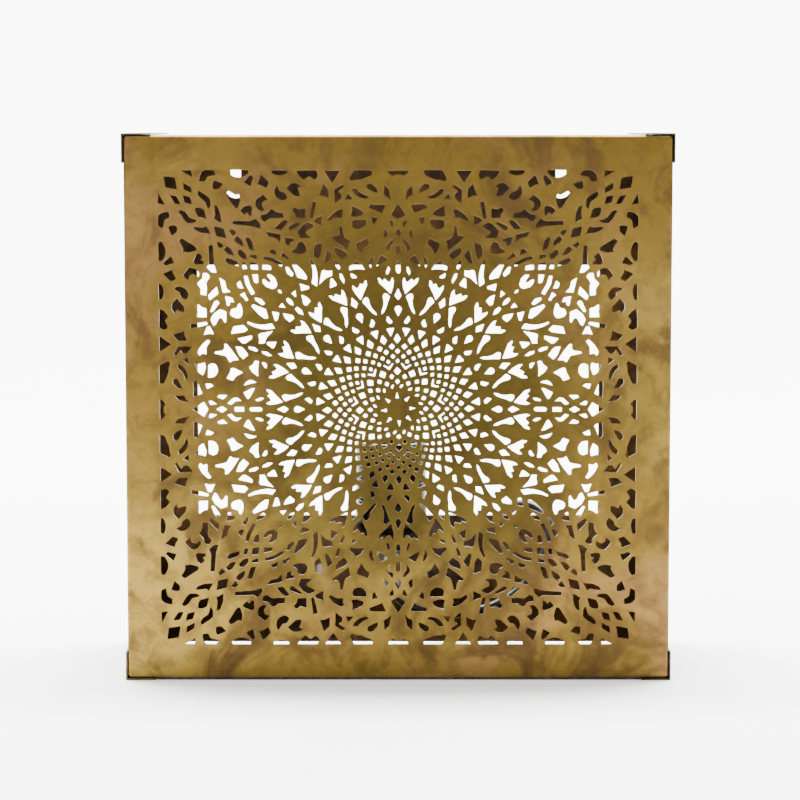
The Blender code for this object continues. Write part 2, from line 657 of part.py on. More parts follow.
def make_nipple_and_nuts(steel, brass, black_plastic):
    """Threaded tube through the shelf, with its washer, its nut and the bush that guides the flex."""
    nipple = tube(NIPPLE_RADIUS, NIPPLE_BORE, SHELF_TOP - NIPPLE_BELOW, SHELF_TOP + NIPPLE_ABOVE, steps=16)
    add_part("nipple", on_holder_axis(nipple), brass, smooth=True)
    washer = tube(WASHER_RADIUS, NIPPLE_RADIUS + GAP, GAP, GAP + WASHER_HEIGHT, steps=18)
    add_part("lock_washer", on_holder_axis(washer, SHELF_TOP), steel)
    nut_top = SHELF_TOP - BRACKET_SHEET - GAP
    nut = hex_nut(NUT_WIDTH, NIPPLE_RADIUS + GAP, nut_top - NUT_HEIGHT, nut_top)
    add_part("nipple_nut", on_holder_axis(nut), steel)
    flex_bore = CORD_RADIUS + GAP
    spigot = NIPPLE_BORE - GAP
    bush_profile = [
        (flex_bore, -BUSH_HEIGHT), (BUSH_RADIUS - BUSH_CHAMFER, -BUSH_HEIGHT),
        (BUSH_RADIUS, -BUSH_HEIGHT / 2), (BUSH_RADIUS, -GAP), (spigot, -GAP),
        (spigot, BUSH_DEPTH), (flex_bore, BUSH_DEPTH),
    ]
    bush = turned(bush_profile, steps=16)
    add_part("flex_bush", on_holder_axis(bush, SHELF_TOP - NIPPLE_BELOW), black_plastic, smooth=True)


def make_bracket(steel):
    """L-shaped bracket: a leg screwed to the lower flange and a shelf under the lampholder."""
    half = BRACKET_WIDTH / 2
    leg_front = PANEL_FRONT - GAP - BRACKET_SHEET
    screw_hole = regular_outline(12, BRACKET_SCREW_RADIUS + HOLE_CLEARANCE)
    holes = [moved_outline(screw_hole, HOLDER_X, z) for z in bracket_screw_heights()]
    leg_outline = rectangle(HOLDER_X - half, SHELF_TOP - BRACKET_LEG, HOLDER_X + half, SHELF_TOP)
    leg = stand(sheet(leg_outline, holes, BRACKET_SHEET), leg_front)
    nose = HOLDER_Y - BRACKET_NOSE
    chamfer = 4 * MM
    shelf_outline = [(HOLDER_X - half + chamfer, nose), (HOLDER_X + half - chamfer, nose),
                     (HOLDER_X + half, nose + chamfer), (HOLDER_X + half, leg_front + BRACKET_SHEET / 2),
                     (HOLDER_X - half, leg_front + BRACKET_SHEET / 2), (HOLDER_X - half, nose + chamfer)]
    nipple_hole = moved_outline(regular_outline(16, NIPPLE_RADIUS + HOLE_CLEARANCE), HOLDER_X, HOLDER_Y)
    shelf = place(sheet(shelf_outline, [nipple_hole], BRACKET_SHEET),
                  Matrix.Translation((0, 0, SHELF_TOP - BRACKET_SHEET)))
    add_part("holder_bracket", combine(leg, shelf, "UNION"), steel)

    forwards = Matrix.Rotation(math.pi / 2, 4, "X")
    for name, z in zip(("upper", "lower"), bracket_screw_heights()):
        fixing = screw(BRACKET_SCREW_RADIUS, BRACKET_SCREW_LENGTH, BRACKET_SCREW_HEAD,
                       BRACKET_SCREW_HEAD_HEIGHT)
        place(fixing, forwards, Matrix.Translation((HOLDER_X, leg_front - GAP, z)))
        add_part(f"bracket_screw_{name}", fixing, steel, smooth=True)
        nut = stand(hex_nut(BRACKET_NUT_WIDTH, BRACKET_SCREW_RADIUS + GAP, 0.0, BRACKET_NUT_HEIGHT),
                    PANEL_REAR + GAP, z, HOLDER_X)
        add_part(f"bracket_nut_{name}", nut, steel)


# ---------------------------------------------------------------- wiring

def curve_tube(name, points, radius, material, bevel_resolution=2):
    """Round tube along the points, closed at both ends."""
    curve = bpy.data.curves.new(name, "CURVE")
    curve.dimensions = "3D"
    curve.resolution_u = 1
    curve.render_resolution_u = 0
    curve.bevel_depth = radius
    curve.bevel_resolution = bevel_resolution
    curve.use_fill_caps = True
    spline = curve.splines.new("POLY")
    spline.points.add(len(points) - 1)
    for target, point in zip(spline.points, points):
        target.co = (*point, 1.0)
    part = bpy.data.objects.new(name, curve)
    bpy.context.collection.objects.link(part)
    curve.materials.append(material)
    return part


def make_flex_clip(steel):
    """P-shaped clip that holds the flex against the rear of the lower flange."""
    centre = clip_centre()
    bore = CORD_RADIUS + GAP
    rear = bore + CLIP_SHEET
    foot_rear = PANEL_REAR + GAP + CLIP_SHEET
    hook = [(-rear, PANEL_REAR + GAP - centre.y)]
    steps = 8
    for i in range(steps + 1):
        angle = math.pi - math.pi * i / steps
        hook.append((rear * math.cos(angle), rear * math.sin(angle)))
    foot_front = foot_rear - CLIP_SHEET
    hook += [(rear, foot_rear - centre.y), (rear + CLIP_FOOT, foot_rear - centre.y),
             (rear + CLIP_FOOT, foot_front - centre.y), (bore, foot_front - centre.y)]
    for i in range(steps + 1):
        angle = math.pi * i / steps
        hook.append((bore * math.cos(angle), bore * math.sin(angle)))
    hook.append((-bore, PANEL_REAR + GAP - centre.y))
    clip = place(sheet(hook, [], CLIP_WIDTH),
                 Matrix.Translation((centre.x, centre.y, centre.z - CLIP_WIDTH / 2)))
    x, z = clip_screw_place()
    drill = stand(sheet(regular_outline(10, TERMINAL_SCREW_RADIUS + HOLE_CLEARANCE), [], 10 * MM),
                  PANEL_REAR - 2 * MM, z, x)
    add_part("flex_clip", combine(clip, drill, "DIFFERENCE"), steel)
    backwards = Matrix.Rotation(-math.pi / 2, 4, "X")
    fixing = screw(TERMINAL_SCREW_RADIUS, CLIP_SCREW_LENGTH, TERMINAL_SCREW_HEAD, TERMINAL_SCREW_HEAD_HEIGHT)
    place(fixing, backwards, Matrix.Translation((x, foot_rear + GAP, z)))
    add_part("flex_clip_screw", fixing, steel, smooth=True)


def pole_heights():
    middle = (TERMINAL_POLES - 1) / 2
    return [TERMINAL_Z + (i - middle) * TERMINAL_PITCH for i in range(TERMINAL_POLES)]


def make_terminal_block(white_plastic, brass, steel):
    """Three-pole block behind the lower flange, with a brass tube in each pole."""
    x0 = TERMINAL_X - TERMINAL_WIDTH / 2
    x1 = TERMINAL_X + TERMINAL_WIDTH / 2
    y0 = PANEL_REAR + GAP
    y1 = y0 + TERMINAL_DEPTH
    axis_y = y0 + TERMINAL_DEPTH * 0.62
    outline = rectangle(y0, TERMINAL_Z - TERMINAL_HEIGHT / 2, y1, TERMINAL_Z + TERMINAL_HEIGHT / 2)
    bores = [moved_outline(regular_outline(12, TERMINAL_BORE), axis_y, z) for z in pole_heights()]
    turn = Matrix(((0, 0, 1, 0), (1, 0, 0, 0), (0, 1, 0, 0), (0, 0, 0, 1)))
    body = place(sheet(outline, bores, TERMINAL_WIDTH), turn, Matrix.Translation((x0, 0, 0)))
    screw_hole = regular_outline(10, TERMINAL_SCREW_RADIUS + HOLE_CLEARANCE)
    for x, z in terminal_screw_places():
        drill = stand(sheet(screw_hole, [], TERMINAL_DEPTH + 4 * MM), y0 - 2 * MM, z, x)
        body = combine(body, drill, "DIFFERENCE")
    add_part("terminal_block", body, white_plastic)
    for pole, z in zip(("earth", "neutral", "live"), pole_heights()):
        insert = tube(INSERT_TUBE_RADIUS, INSERT_TUBE_BORE, x0 + INSERT_TUBE_INSET,
                      x1 - INSERT_TUBE_INSET, steps=12)
        place(insert, Matrix.Rotation(math.pi / 2, 4, "Y"), Matrix.Translation((0, axis_y, z)))
        add_part(f"terminal_tube_{pole}", insert, brass)
    backwards = Matrix.Rotation(-math.pi / 2, 4, "X")
    for name, (x, z) in zip(("lower", "upper"), terminal_screw_places()):
        fixing = screw(TERMINAL_SCREW_RADIUS, TERMINAL_SCREW_LENGTH, TERMINAL_SCREW_HEAD,
                       TERMINAL_SCREW_HEAD_HEIGHT)
        place(fixing, backwards, Matrix.Translation((x, y1 + GAP, z)))
        add_part(f"terminal_screw_{name}", fixing, steel, smooth=True)


def make_earth_point(steel, brass):
    """Ring tag on a screw through the lower flange, for the supply's earth."""
    x, z = earth_place()
    hole = regular_outline(12, BRACKET_SCREW_RADIUS + GAP)
    tag_outline = regular_outline(16, EARTH_TAG_RADIUS)
    tag = stand(sheet(tag_outline, [hole], EARTH_TAG_SHEET), PANEL_REAR + GAP, z, x)
    add_part("earth_tag", tag, brass)
    forwards = Matrix.Rotation(math.pi / 2, 4, "X")
    fixing = screw(BRACKET_SCREW_RADIUS, BRACKET_SCREW_LENGTH, BRACKET_SCREW_HEAD,
                   BRACKET_SCREW_HEAD_HEIGHT)
    place(fixing, forwards, Matrix.Translation((x, PANEL_FRONT - GAP, z)))
    add_part("earth_screw", fixing, steel, smooth=True)
    nut = stand(hex_nut(BRACKET_NUT_WIDTH, BRACKET_SCREW_RADIUS + GAP, 0.0, BRACKET_NUT_HEIGHT),
                PANEL_REAR + 2 * GAP + EARTH_TAG_SHEET, z, x)
    add_part("earth_nut", nut, steel)


def main():
    clear_scene()
    brass = make_material("antique_brass", (0.46, 0.32, 0.12), 0.42, 1.0)
    dark_metal = make_material("dark_metal", (0.05, 0.04, 0.035), 0.5, 0.8)
    steel = make_material("zinc_steel", (0.62, 0.62, 0.60), 0.35, 1.0)
    nickel = make_material("contact_metal", (0.70, 0.62, 0.45), 0.3, 1.0)
    black_plastic = make_material("black_plastic", (0.01, 0.01, 0.012), 0.18, 0.0)
    porcelain = make_material("porcelain", (0.80, 0.78, 0.72), 0.3, 0.0)
    white_plastic = make_material("white_plastic", (0.75, 0.75, 0.72), 0.4, 0.0)
    flex_black = make_material("flex_black", (0.012, 0.012, 0.014), 0.35, 0.0)

    make_front_panel(brass)
    make_side_walls(brass)
    make_top_and_bottom(brass)
    make_corner_angles(dark_metal)
    make_back_panel(brass)
    make_panel_fixings(steel)
    make_lampholder(black_plastic, porcelain, nickel)
    make_nipple_and_nuts(steel, brass, black_plastic)
    make_bracket(steel)
    curve_tube("flex", FLEX_POINTS, CORD_RADIUS, flex_black)
    make_flex_clip(steel)
    make_terminal_block(white_plastic, brass, steel)
    make_earth_point(steel, brass)


main()
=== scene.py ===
"""Pierced brass wall light: the finish of the whole lamp, built round its fixed frame.

The pierced face looks along -Y, the wall is on the +Y side and +Z is up. Sizes are in metres, apart
from the template of the pierced pattern, which is drawn in millimetres from the pattern's centre.
"""

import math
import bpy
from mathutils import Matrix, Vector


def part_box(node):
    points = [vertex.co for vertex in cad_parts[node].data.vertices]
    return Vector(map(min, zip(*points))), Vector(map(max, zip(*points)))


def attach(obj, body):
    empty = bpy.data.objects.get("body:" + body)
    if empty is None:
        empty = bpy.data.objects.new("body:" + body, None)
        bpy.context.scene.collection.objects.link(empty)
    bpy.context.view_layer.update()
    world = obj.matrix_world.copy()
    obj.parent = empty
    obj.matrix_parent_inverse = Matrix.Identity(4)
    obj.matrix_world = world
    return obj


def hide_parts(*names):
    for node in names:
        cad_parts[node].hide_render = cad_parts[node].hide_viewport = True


bl_info = {
    "name": "Pierced Brass Wall Light",
    "version": (1, 0, 0),
    "blender": (4, 5, 0),
    "location": "3D View > Sidebar > Wall Light",
    "description": "Builds the looks of a pierced brass wall light round its packed frame",
    "category": "Object",
}

import bmesh
import bpy
from mathutils import Vector, geometry, noise

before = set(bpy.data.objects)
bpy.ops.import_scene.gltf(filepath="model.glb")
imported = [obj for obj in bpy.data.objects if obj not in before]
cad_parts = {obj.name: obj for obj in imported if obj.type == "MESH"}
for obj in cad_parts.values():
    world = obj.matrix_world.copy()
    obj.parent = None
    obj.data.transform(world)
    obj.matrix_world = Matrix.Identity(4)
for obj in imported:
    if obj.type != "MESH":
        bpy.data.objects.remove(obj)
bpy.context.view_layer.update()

MM = 0.001
FACE_LOW, FACE_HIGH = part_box("front_panel")
CAP_LOW, CAP_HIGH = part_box("lampholder_cap")
SKIRT_LOW, SKIRT_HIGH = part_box("lampholder_skirt")
SHELL_LOW, SHELL_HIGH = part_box("lampholder_thread")
HOLDER_AXIS = Vector(((CAP_LOW.x + CAP_HIGH.x) / 2, (CAP_LOW.y + CAP_HIGH.y) / 2, 0.0))
# Centreline of the flex in millimetres, from the nipple to the terminal block
FLEX_ROUTE = (
    (-4, -5, 54), (-4, -5, 48.5), (-3.2, -4.8, 42.5), (0.8, -4, 36.5), (7.2, -2.6, 31.6),
    (15, -0.8, 28.4), (24, 1.4, 26.8), (33.5, 4, 26.2), (43, 6.8, 26.6), (52.4, 9.8, 28.4),
    (61.4, 13, 32), (69.8, 16.2, 37.4), (77.2, 19.6, 44.6), (83.2, 23.2, 53), (87.2, 27.4, 62),
    (88.6, 32.4, 70.6), (86.8, 38.2, 77.4), (82.2, 44.4, 81.6), (75.8, 49.4, 83.1), (69.4, 53.3, 81.7),
    (64.6, 55.6, 77.4), (61.8, 56.4, 71.6), (61, 56.4, 65.4), (61, 56.4, 58.8), (59, 56.3, 52.2),
    (54.8, 56, 47), (49, 55.5, 44), (43, 55.1, 43), (37.2, 54.8, 43),
)

CAMERA_PLACE = Vector((0.001, -1.563, 0.305))
CAMERA_PITCH = math.radians(5.65)
CAMERA_LENS = 123.6

# ---------------------------------------------------------------- template of the pierced pattern

# Cuts on the four axes: (along the axis, across it), one half of each, mirrored across the axis
AXIS_CUTS = (
    ((74.6, 0), (75.6, 1.2), (81, 1.2), (81.8, 0)),
    ((84.8, 0), (84.9, 1.2), (89.8, 1.2), (89.9, 0)),
    ((94, 0), (96.8, 1.7), (100, 0)),
    ((104.6, 0), (106.8, 3.8), (113, 0)),
)
EDGE_MIDDLE = ((130.8, 5.3), (129.8, 5), (127.9, 2.8, 0.5), (129.2, 0.6))
# Cuts on the four diagonals, drawn in the same way
DIAGONAL_CUTS = (
    ((73.4, 0), (76, 1.3), (79, 0.9), (79.2, 0)),
    ((80.8, 0), (83, 1.1), (85.6, 1), (86.4, 0)),
    ((90.2, 0), (91.8, 0.8), (93.2, 0)),
    ((95, 0), (95.6, 1.7), (98.8, 3.3), (101.4, 3.1), (102.8, 2), (102.4, 1.4), (99.4, 0.9), (98.4, 0)),
    ((108.6, 0), (111.4, 2.2), (114.4, 0)),
    ((117.2, 0), (119, 1.2), (122.6, 1.2), (123.6, 0)),
    ((133.2, 0), (137.6, 2.6), (142, 0)),
    ((148.4, 0), (152.4, 2.2, 0.5), (156.2, 0)),
    ((159.4, 0), (162.8, 1.7), (166, 0)),
    ((171, 0), (176, 3.4), (180.6, 0)),
)
# Cuts between an axis and a diagonal, repeated eight times. A third number at a corner is the rise
# of the arc that leads from it to the next corner
WEDGE_CUTS = (
    # round the medallion
    ((73.7, 6.2), (75.6, 6.7), (78.7, 5.3), (77.8, 4.5), (75.4, 4.9)),
    ((78.6, 11.8), (80.2, 11.7), (85, 9.3), (83, 5.9), (82, 5.9)),
    ((77.6, 14.9, 2.2), (85, 13, -0.2)),
    ((76.4, 26.6), (78.6, 26.8), (79.4, 25), (81.9, 23.2), (80.4, 20.6), (76.8, 18.1, -0.5)),
    ((72.1, 25), (73.5, 26), (75, 25.8), (73.3, 22.9), (72.2, 22.7)),
    ((69, 29.6), (72, 31.8), (74.9, 32.2), (74.4, 30.8), (71.2, 29.3)),
    ((76.8, 32.6), (78.6, 34.1), (82.2, 34.7), (81.8, 33.3), (77.8, 31.8)),
    ((66.6, 37.3), (71.8, 37.1), (72.2, 36), (69, 33.6), (68, 33.9)),
    ((68.5, 43.3), (76.2, 41.7), (76.6, 40.4, -0.4), (76.4, 36.3), (73.5, 36.3), (72.2, 39.6)),
    ((67.5, 44.6), (69.4, 47.3, -1.2), (82.4, 48.3), (82.6, 47.4, 1.6)),
    ((65.2, 53.1), (69.2, 53.9), (67.6, 48.8), (66.3, 49)),
    ((57, 50.2), (57.6, 51.8), (63.2, 53), (62, 50.2), (59.6, 48)),
    ((61.6, 55.8), (63.6, 58.6), (65.5, 56.3)),
    ((71.4, 50.3), (72.6, 55), (79.6, 57.8), (80.3, 56.6), (76.2, 52.2), (73, 50)),
    ((73.1, 58.3), (75, 60.8), (78.2, 61.6), (78.2, 60.2), (74.4, 57.4)),
    # second round
    ((86, 4.6), (88.6, 6.5), (90.6, 6.2), (93.9, 3.2), (91.8, 2.5), (89.4, 4.7)),
    ((93.8, 7.8), (98.4, 7.9), (99.4, 6.8), (96.2, 5.6)),
    ((99.5, 2.9), (102.6, 4.6), (104, 4.4), (103.2, 2.5)),
    ((101.5, 13), (103, 14.1), (105.8, 14.1), (105, 11.4)),
    ((85.2, 20.3), (90, 22.8), (91.7, 22.7), (92.2, 20.4), (94.1, 17), (90.8, 15.8), (89.2, 18.2)),
    ((104, 24.4), (104.2, 17.6), (101.6, 17.8, 1.6), (100, 24.5), (101.8, 25.3)),
    ((82.4, 30), (84.8, 33.4), (86.4, 34.4), (89.2, 34.6), (87.4, 30), (85.2, 27.6)),
    ((87.6, 27.2), (91, 27.1), (92.4, 26), (94.4, 29.6), (100.6, 31), (100.4, 31.8), (96.4, 32.2),
     (95, 33.6), (95.3, 35.8), (94.2, 36), (91.4, 32.6)),
    ((80.3, 40.7), (88, 39), (85.4, 36.4), (84, 36.4), (80.3, 39)),
    ((82.6, 43.9), (84.8, 46.3), (90.2, 45.6), (91.6, 41.7), (84.4, 42.6)),
    ((101, 41.4), (103.2, 45.6), (104.6, 45.6), (106.6, 41.2), (103.6, 42)),
    ((94.4, 53.6), (97.6, 54.9), (101, 52.4), (102.6, 49.4), (101.2, 46.4), (100.2, 46.8), (98.6, 49.9),
     (97.4, 50.8), (96.2, 50.2), (95, 48), (94.4, 48.4)),
    ((98.3, 58.6), (99.4, 59.8), (100.6, 59.2), (102.9, 53.9), (101.8, 53.8)),
    ((98.8, 63.8), (99.4, 67.4), (101.8, 64.9), (103.9, 62.3), (103.2, 60.4)),
    ((86.8, 58.4), (87.7, 57.6), (88.2, 55.8), (91.2, 55, 1.5), (89.6, 50.8, 1.6), (85.5, 53.2, 0.4)),
    ((89.8, 59), (90.9, 61.3), (94.7, 62.2), (93.6, 57.2), (92.5, 57.4), (92.2, 59.5)),
    ((91.7, 64.6), (94.2, 66.5), (95, 70.4), (97.8, 72.4), (95.8, 64.5)),
    ((76.8, 69.6), (77, 74), (79.8, 74), (78.6, 69.8)),
    ((78.7, 64), (81.4, 68.8), (82.7, 73.3), (84.2, 73.3), (83.4, 69), (80.2, 63.2)),
    ((84.9, 66.6), (86.5, 70.6), (88.2, 69.2), (87.4, 67)),
    ((82.3, 60.2), (83.6, 62.4), (84.3, 64.4), (86.4, 63), (84.6, 61.6), (83.4, 59.8)),
    ((82.8, 77.4), (84, 80.6), (85.2, 80.8), (84.8, 77.4)),
    ((87.4, 78.8), (88.2, 81.2), (93.8, 83.2), (94.4, 82.2), (92.6, 80.4)),
    ((89.6, 84.7), (92.4, 85.4), (95, 88), (93.8, 89.4), (92, 88.4)),
    ((95.6, 90.2), (97.4, 88.8), (98.8, 90.8), (98.6, 92.2)),
    # outer round
    ((108, 8.9), (112.3, 6.8), (112.4, 15), (110.9, 15.8)),
    ((105.8, 23), (107.2, 19), (109.4, 20.4), (111.8, 25.4), (109, 24.8), (106.3, 25.7)),
    ((105.3, 30.4), (105.4, 34.4), (103.4, 37.6), (104.4, 38.2, 0.7), (109.8, 31.4), (109, 29.8),
     (107.4, 31.2)),
    ((104.7, 47), (105.1, 48), (113.8, 46.7), (113.6, 45), (109.2, 45.7)),
    ((105.3, 51), (105.4, 55.4), (107.6, 56), (109.6, 57.5), (110.7, 56.4), (109.4, 54.2), (110.3, 51)),
    ((105.3, 63), (105.2, 67), (105.6, 70), (103.4, 73), (104.6, 74.6), (106.6, 74.6), (107, 71.8),
     (109.7, 69.2), (107.8, 66.4), (107.9, 63.4)),
    ((99.6, 75.4), (101, 79.5), (101.8, 90), (103.3, 89.9), (103, 80.4), (104.3, 78), (101.6, 75.6)),
    ((106.6, 80.2), (107, 81.5), (108.4, 81.7), (108.4, 83), (107.1, 83.8), (109.2, 85.7), (110.4, 84.8),
     (111.7, 81.4), (111, 80)),
    ((102.4, 96.6), (107.5, 97.4), (111, 98.9), (112, 100.4), (106.4, 99.5), (105, 100.5)),
    ((109.9, 103.8), (111.5, 102.9), (115.2, 102.8), (117, 104.8), (119.6, 108.8), (118.6, 109.2),
     (116.4, 108), (114.4, 104.9)),
    ((118.9, 112.8), (121.6, 113.2), (124.4, 117.4), (121.2, 116.8)),
    # along the border
    ((114.4, 3.9), (116.8, 5.6), (117.6, 7.6), (122.8, 7.6), (120.6, 5.2), (117.8, 4.7)),
    ((118.9, 11.4), (119.2, 12.6), (121.4, 16.7), (123.2, 16.7), (123.6, 14.6), (121.2, 12)),
    ((116.9, 16), (115.8, 17.4, 1.5), (120.6, 25), (120.9, 22.9, -1)),
    ((115.3, 24.7), (115.4, 28.8), (118.3, 27.4)),
    ((113.1, 34.6), (120.4, 34.6), (122.9, 30.5), (122, 29.7), (119.4, 33.4), (118.3, 31.4), (116, 31.2)),
    ((116, 38), (117.6, 41.2), (117.3, 43.1), (123.4, 40.9), (120.6, 38.2)),
    ((117.3, 53.9), (117.5, 56.4), (121.4, 60.7), (123.8, 58), (123.8, 55.4), (122.4, 52.7), (121.7, 55.4),
     (119.2, 54.2)),
    ((115.2, 63.8, 1.2), (120.7, 67.2), (122.9, 66.4), (119.4, 64.8), (118.8, 62.2), (116.6, 60.7, 0.6)),
    ((109.4, 72.9), (109.2, 74.6, 1.2), (114.6, 77.4), (117.4, 73.8), (115, 71.3), (114.6, 73.8, -1.4)),
    ((110.6, 87.7), (110.8, 89), (118.2, 93.6), (119.4, 92.6), (117, 88.6), (117.8, 87), (114.4, 86.6)),
    ((121.8, 72), (123.6, 74.8), (123.7, 76.6), (128.4, 74.7), (124.4, 70.9)),
    ((122.7, 80.5), (124.4, 83.9), (126.4, 82.2), (128.2, 80.4), (127, 79.4), (125, 80.2)),
    ((121.2, 98), (121.3, 100.5), (123.4, 100.8), (125.2, 100.2), (123.6, 95.6)),
    ((128.8, 14.6), (126.2, 20.8), (126.4, 23.4), (125.4, 25.2), (126.4, 26.3), (130.8, 24), (130.8, 14.6)),
    ((124.7, 36), (130.8, 31.8), (130.8, 40.2)),
    ((128, 44.2), (126.4, 45.6), (128.5, 48.8), (126.3, 51.4), (128.5, 54), (130.8, 55.4), (130.8, 45.2)),
    ((130.8, 60.8), (129.8, 60.8, 1.1), (129.8, 68.6), (130.8, 68.6)),
    ((130.8, 82), (129.4, 82, 2), (129.4, 91.8), (130.8, 91.4)),
    ((128.6, 99.6), (130.8, 101), (130.8, 106), (129, 107.6), (125.6, 108.2), (125.2, 105.6),
     (128, 104.2)),
    ((127.5, 112.4), (130.8, 113.2), (130.8, 118.6)),
)
# Spokes round the medallion: (out, across) from the middle of a petal, a tulip or a leaf
CLUB_CUT = ((52.8, 1.2), (54.2, 3.2), (56.5, 4.8), (58.8, 6), (61.6, 7.9), (62.8, 7.3), (64.2, 5.6),
            (63.8, 4.5), (62.6, 3.8), (60, 3.8), (57.3, 3.1), (54.8, 1.5))
TULIP_CUT = ((63.4, 1.7), (66.6, -1), (70.2, -4.2), (73.2, -4.8), (72.6, -3.2), (71, -2.4),
             (72.4, -0.9), (71.2, 0), (70, 1.4), (71.2, 2.4), (72.9, 3.3), (70.8, 4), (67, 3.2))
BUD_CUT = ((46.9, 4.4), (47.2, 6.2), (48.2, 6.5), (51.7, 4.6), (51.5, 4), (49.3, 2.9))
SEED_CUT = ((51, 0), (53.2, 1.2), (55.2, 2.1), (56.8, 1.5), (57.4, 0), (56.8, -1.5),
            (55.2, -2.1), (53.2, -1.2))
LEAF_CUT = ((60, 0), (62.6, 2), (66.8, 0), (62.6, -2))
SPOKE_COUNT = 16
PAIR_ANGLE = math.radians(5.15)  # from a spoke to each of the pair of cuts beside it

# Rings of the medallion: (radius, count, turn in steps, half size outwards, half size across)
DIAMOND_RINGS = (
    (15.3, 16, 0.06, 1.8, 1.6),
    (18.4, 16, 0.50, 1.8, 1.6),
    (21.1, 16, 0.06, 2.5, 2.3),
    (26.8, 32, 0.05, 1.6, 1.4),
    (29.4, 32, 0.50, 1.6, 1.6),
    (32.1, 32, 0.05, 1.8, 1.7),
    (34.8, 32, 0.50, 2.0, 1.9),
)
KITE_CUT = ((-2.6, 0.0), (0.0, 2.1), (3.4, 0.0), (0.0, -2.1))
KITE_RADIUS = 38.7
CHEVRON_CUT = ((-1.9, 0.0), (1.3, 3.1), (2.1, 2.3), (0.1, 0.0), (2.1, -2.3), (1.3, -3.1))
CHEVRON_RADIUS = 23.8
CHEVRON_TURN = 0.555
STAR_POINT_CUT = ((-1.5, -1.2), (-1.5, 1.2), (2.4, 0.0))
STAR_POINT_RADIUS = 7.6
STAR_POINTS = 8
GRAIN_CUT = ((-1.5, 0.0), (-0.7, 0.8), (0.7, 0.8), (1.5, 0.0), (0.7, -0.8), (-0.7, -0.8))
GRAIN_RADIUS = 12.9
GRAIN_LEAN = math.radians(-32.0)
WEB_CUT = ((-2.8, 0.0), (1.6, 2.3), (2.3, 1.8), (2.3, -1.8), (1.6, -2.3))
WEB_RADIUS = 42.9

ARC_STEPS = 4
# How the saw leaves a cut: each side moves outwards by the kerf, which is narrower inside the fine work
FINE_KERF = -0.10
WIDE_KERF = 0.46
FINE_RADIUS = 50.0
KERF_CHANGE = 80.0  # distance over which the kerf goes from the fine to the wide one
CORNER_BITE = 0.38  # length lost from each side at a corner
CORNER_SHARE = 0.22  # and the most that it can be of a side
SHORT_SIDE = 0.05
WAVER = 0.16
WAVE_LENGTH = 7.0
WAVER_SEED = 5  # without a seed of its own the line would wander differently in every run


def arc_points(start, end, rise):
    """Points between two corners, on an arc whose middle stands off the straight line by rise."""
    (x0, y0), (x1, y1) = start, end
    length = math.hypot(x1 - x0, y1 - y0)
    across = ((y0 - y1) / length, (x1 - x0) / length)
    points = []
    for i in range(1, ARC_STEPS):
        t = i / ARC_STEPS
        off = 4 * rise * t * (1 - t)
        points.append((x0 + (x1 - x0) * t + across[0] * off, y0 + (y1 - y0) * t + across[1] * off))
    return points


def drawn(corners):
    """Outline through the corners, with its arcs filled in."""
    corners = list(corners)
    outline = []
    for here, after in zip(corners, corners[1:] + corners[:1]):
        outline.append(here[:2])
        if len(here) == 3:
            outline += arc_points(here[:2], after[:2], here[2])
    return outline


def mirrored(outline):
    return [(u, -v) for u, v in outline]


def whole(half):
    """Outline of a cut that is symmetrical about its own axis, from the half above the axis."""
    upper = drawn(half)
    return upper + [(u, -v) for u, v in reversed(upper) if v > 0]


def turned(outline, angle):
    c, s = math.cos(angle), math.sin(angle)
    return [(u * c - v * s, u * s + v * c) for u, v in outline]


def ring(cut, radius, count, turn):
    """Copies of a cut, drawn round (0, 0), set in a ring about the pattern's centre."""
    step = 2 * math.pi / count
    return [turned([(radius + u, v) for u, v in cut], step * (i + turn)) for i in range(count)]


def medallion_cuts():
    """Woven middle of the pattern: rings of diamonds that open out from a small star."""
    cuts = ring(STAR_POINT_CUT, STAR_POINT_RADIUS, STAR_POINTS, 0.1)
    cuts += ring(turned(GRAIN_CUT, GRAIN_LEAN), GRAIN_RADIUS, SPOKE_COUNT, 0.64)
    cuts += ring(KITE_CUT, KITE_RADIUS, 2 * SPOKE_COUNT, 0.06)
    for radius, count, turn, out, across in DIAMOND_RINGS:
        cuts += ring(((-out, 0.0), (0.0, across), (out, 0.0), (0.0, -across)), radius, count, turn)
    cuts += ring(CHEVRON_CUT, CHEVRON_RADIUS, SPOKE_COUNT, CHEVRON_TURN)
    cuts += ring(WEB_CUT, WEB_RADIUS, 2 * SPOKE_COUNT, 0.5)
    return cuts


def spoke_cuts():
    """Petals between pairs of club-shaped slots, with tulips and leaves round their tips."""
    cuts = []
    for k in range(SPOKE_COUNT):
        spoke = 2 * math.pi * k / SPOKE_COUNT
        petal = spoke + math.pi / SPOKE_COUNT
        cuts.append(turned(SEED_CUT, spoke))
        cuts.append(turned(LEAF_CUT, spoke))
        cuts.append(turned(BUD_CUT, petal))
        cuts.append(turned(mirrored(BUD_CUT), petal))
        cuts.append(turned(CLUB_CUT, petal))
        cuts.append(turned(mirrored(CLUB_CUT), petal))
        cuts.append(turned(mirrored(TULIP_CUT), spoke + PAIR_ANGLE))
        cuts.append(turned(TULIP_CUT, spoke - PAIR_ANGLE))
    return cuts


def field_cuts():
    """Foliage that fills the square round the medallion, the same in all eight wedges."""
    cuts = []
    for k in range(4):
        axis = math.pi / 2 * k
        for half in AXIS_CUTS + (EDGE_MIDDLE,):
            cuts.append(turned(whole(half), axis))
        for half in DIAGONAL_CUTS:
            cuts.append(turned(whole(half), axis + math.pi / 4))
        for corners in WEDGE_CUTS:
            cuts.append(turned(drawn(corners), axis))
            cuts.append(turned(mirrored(drawn(corners)), axis))
    return cuts


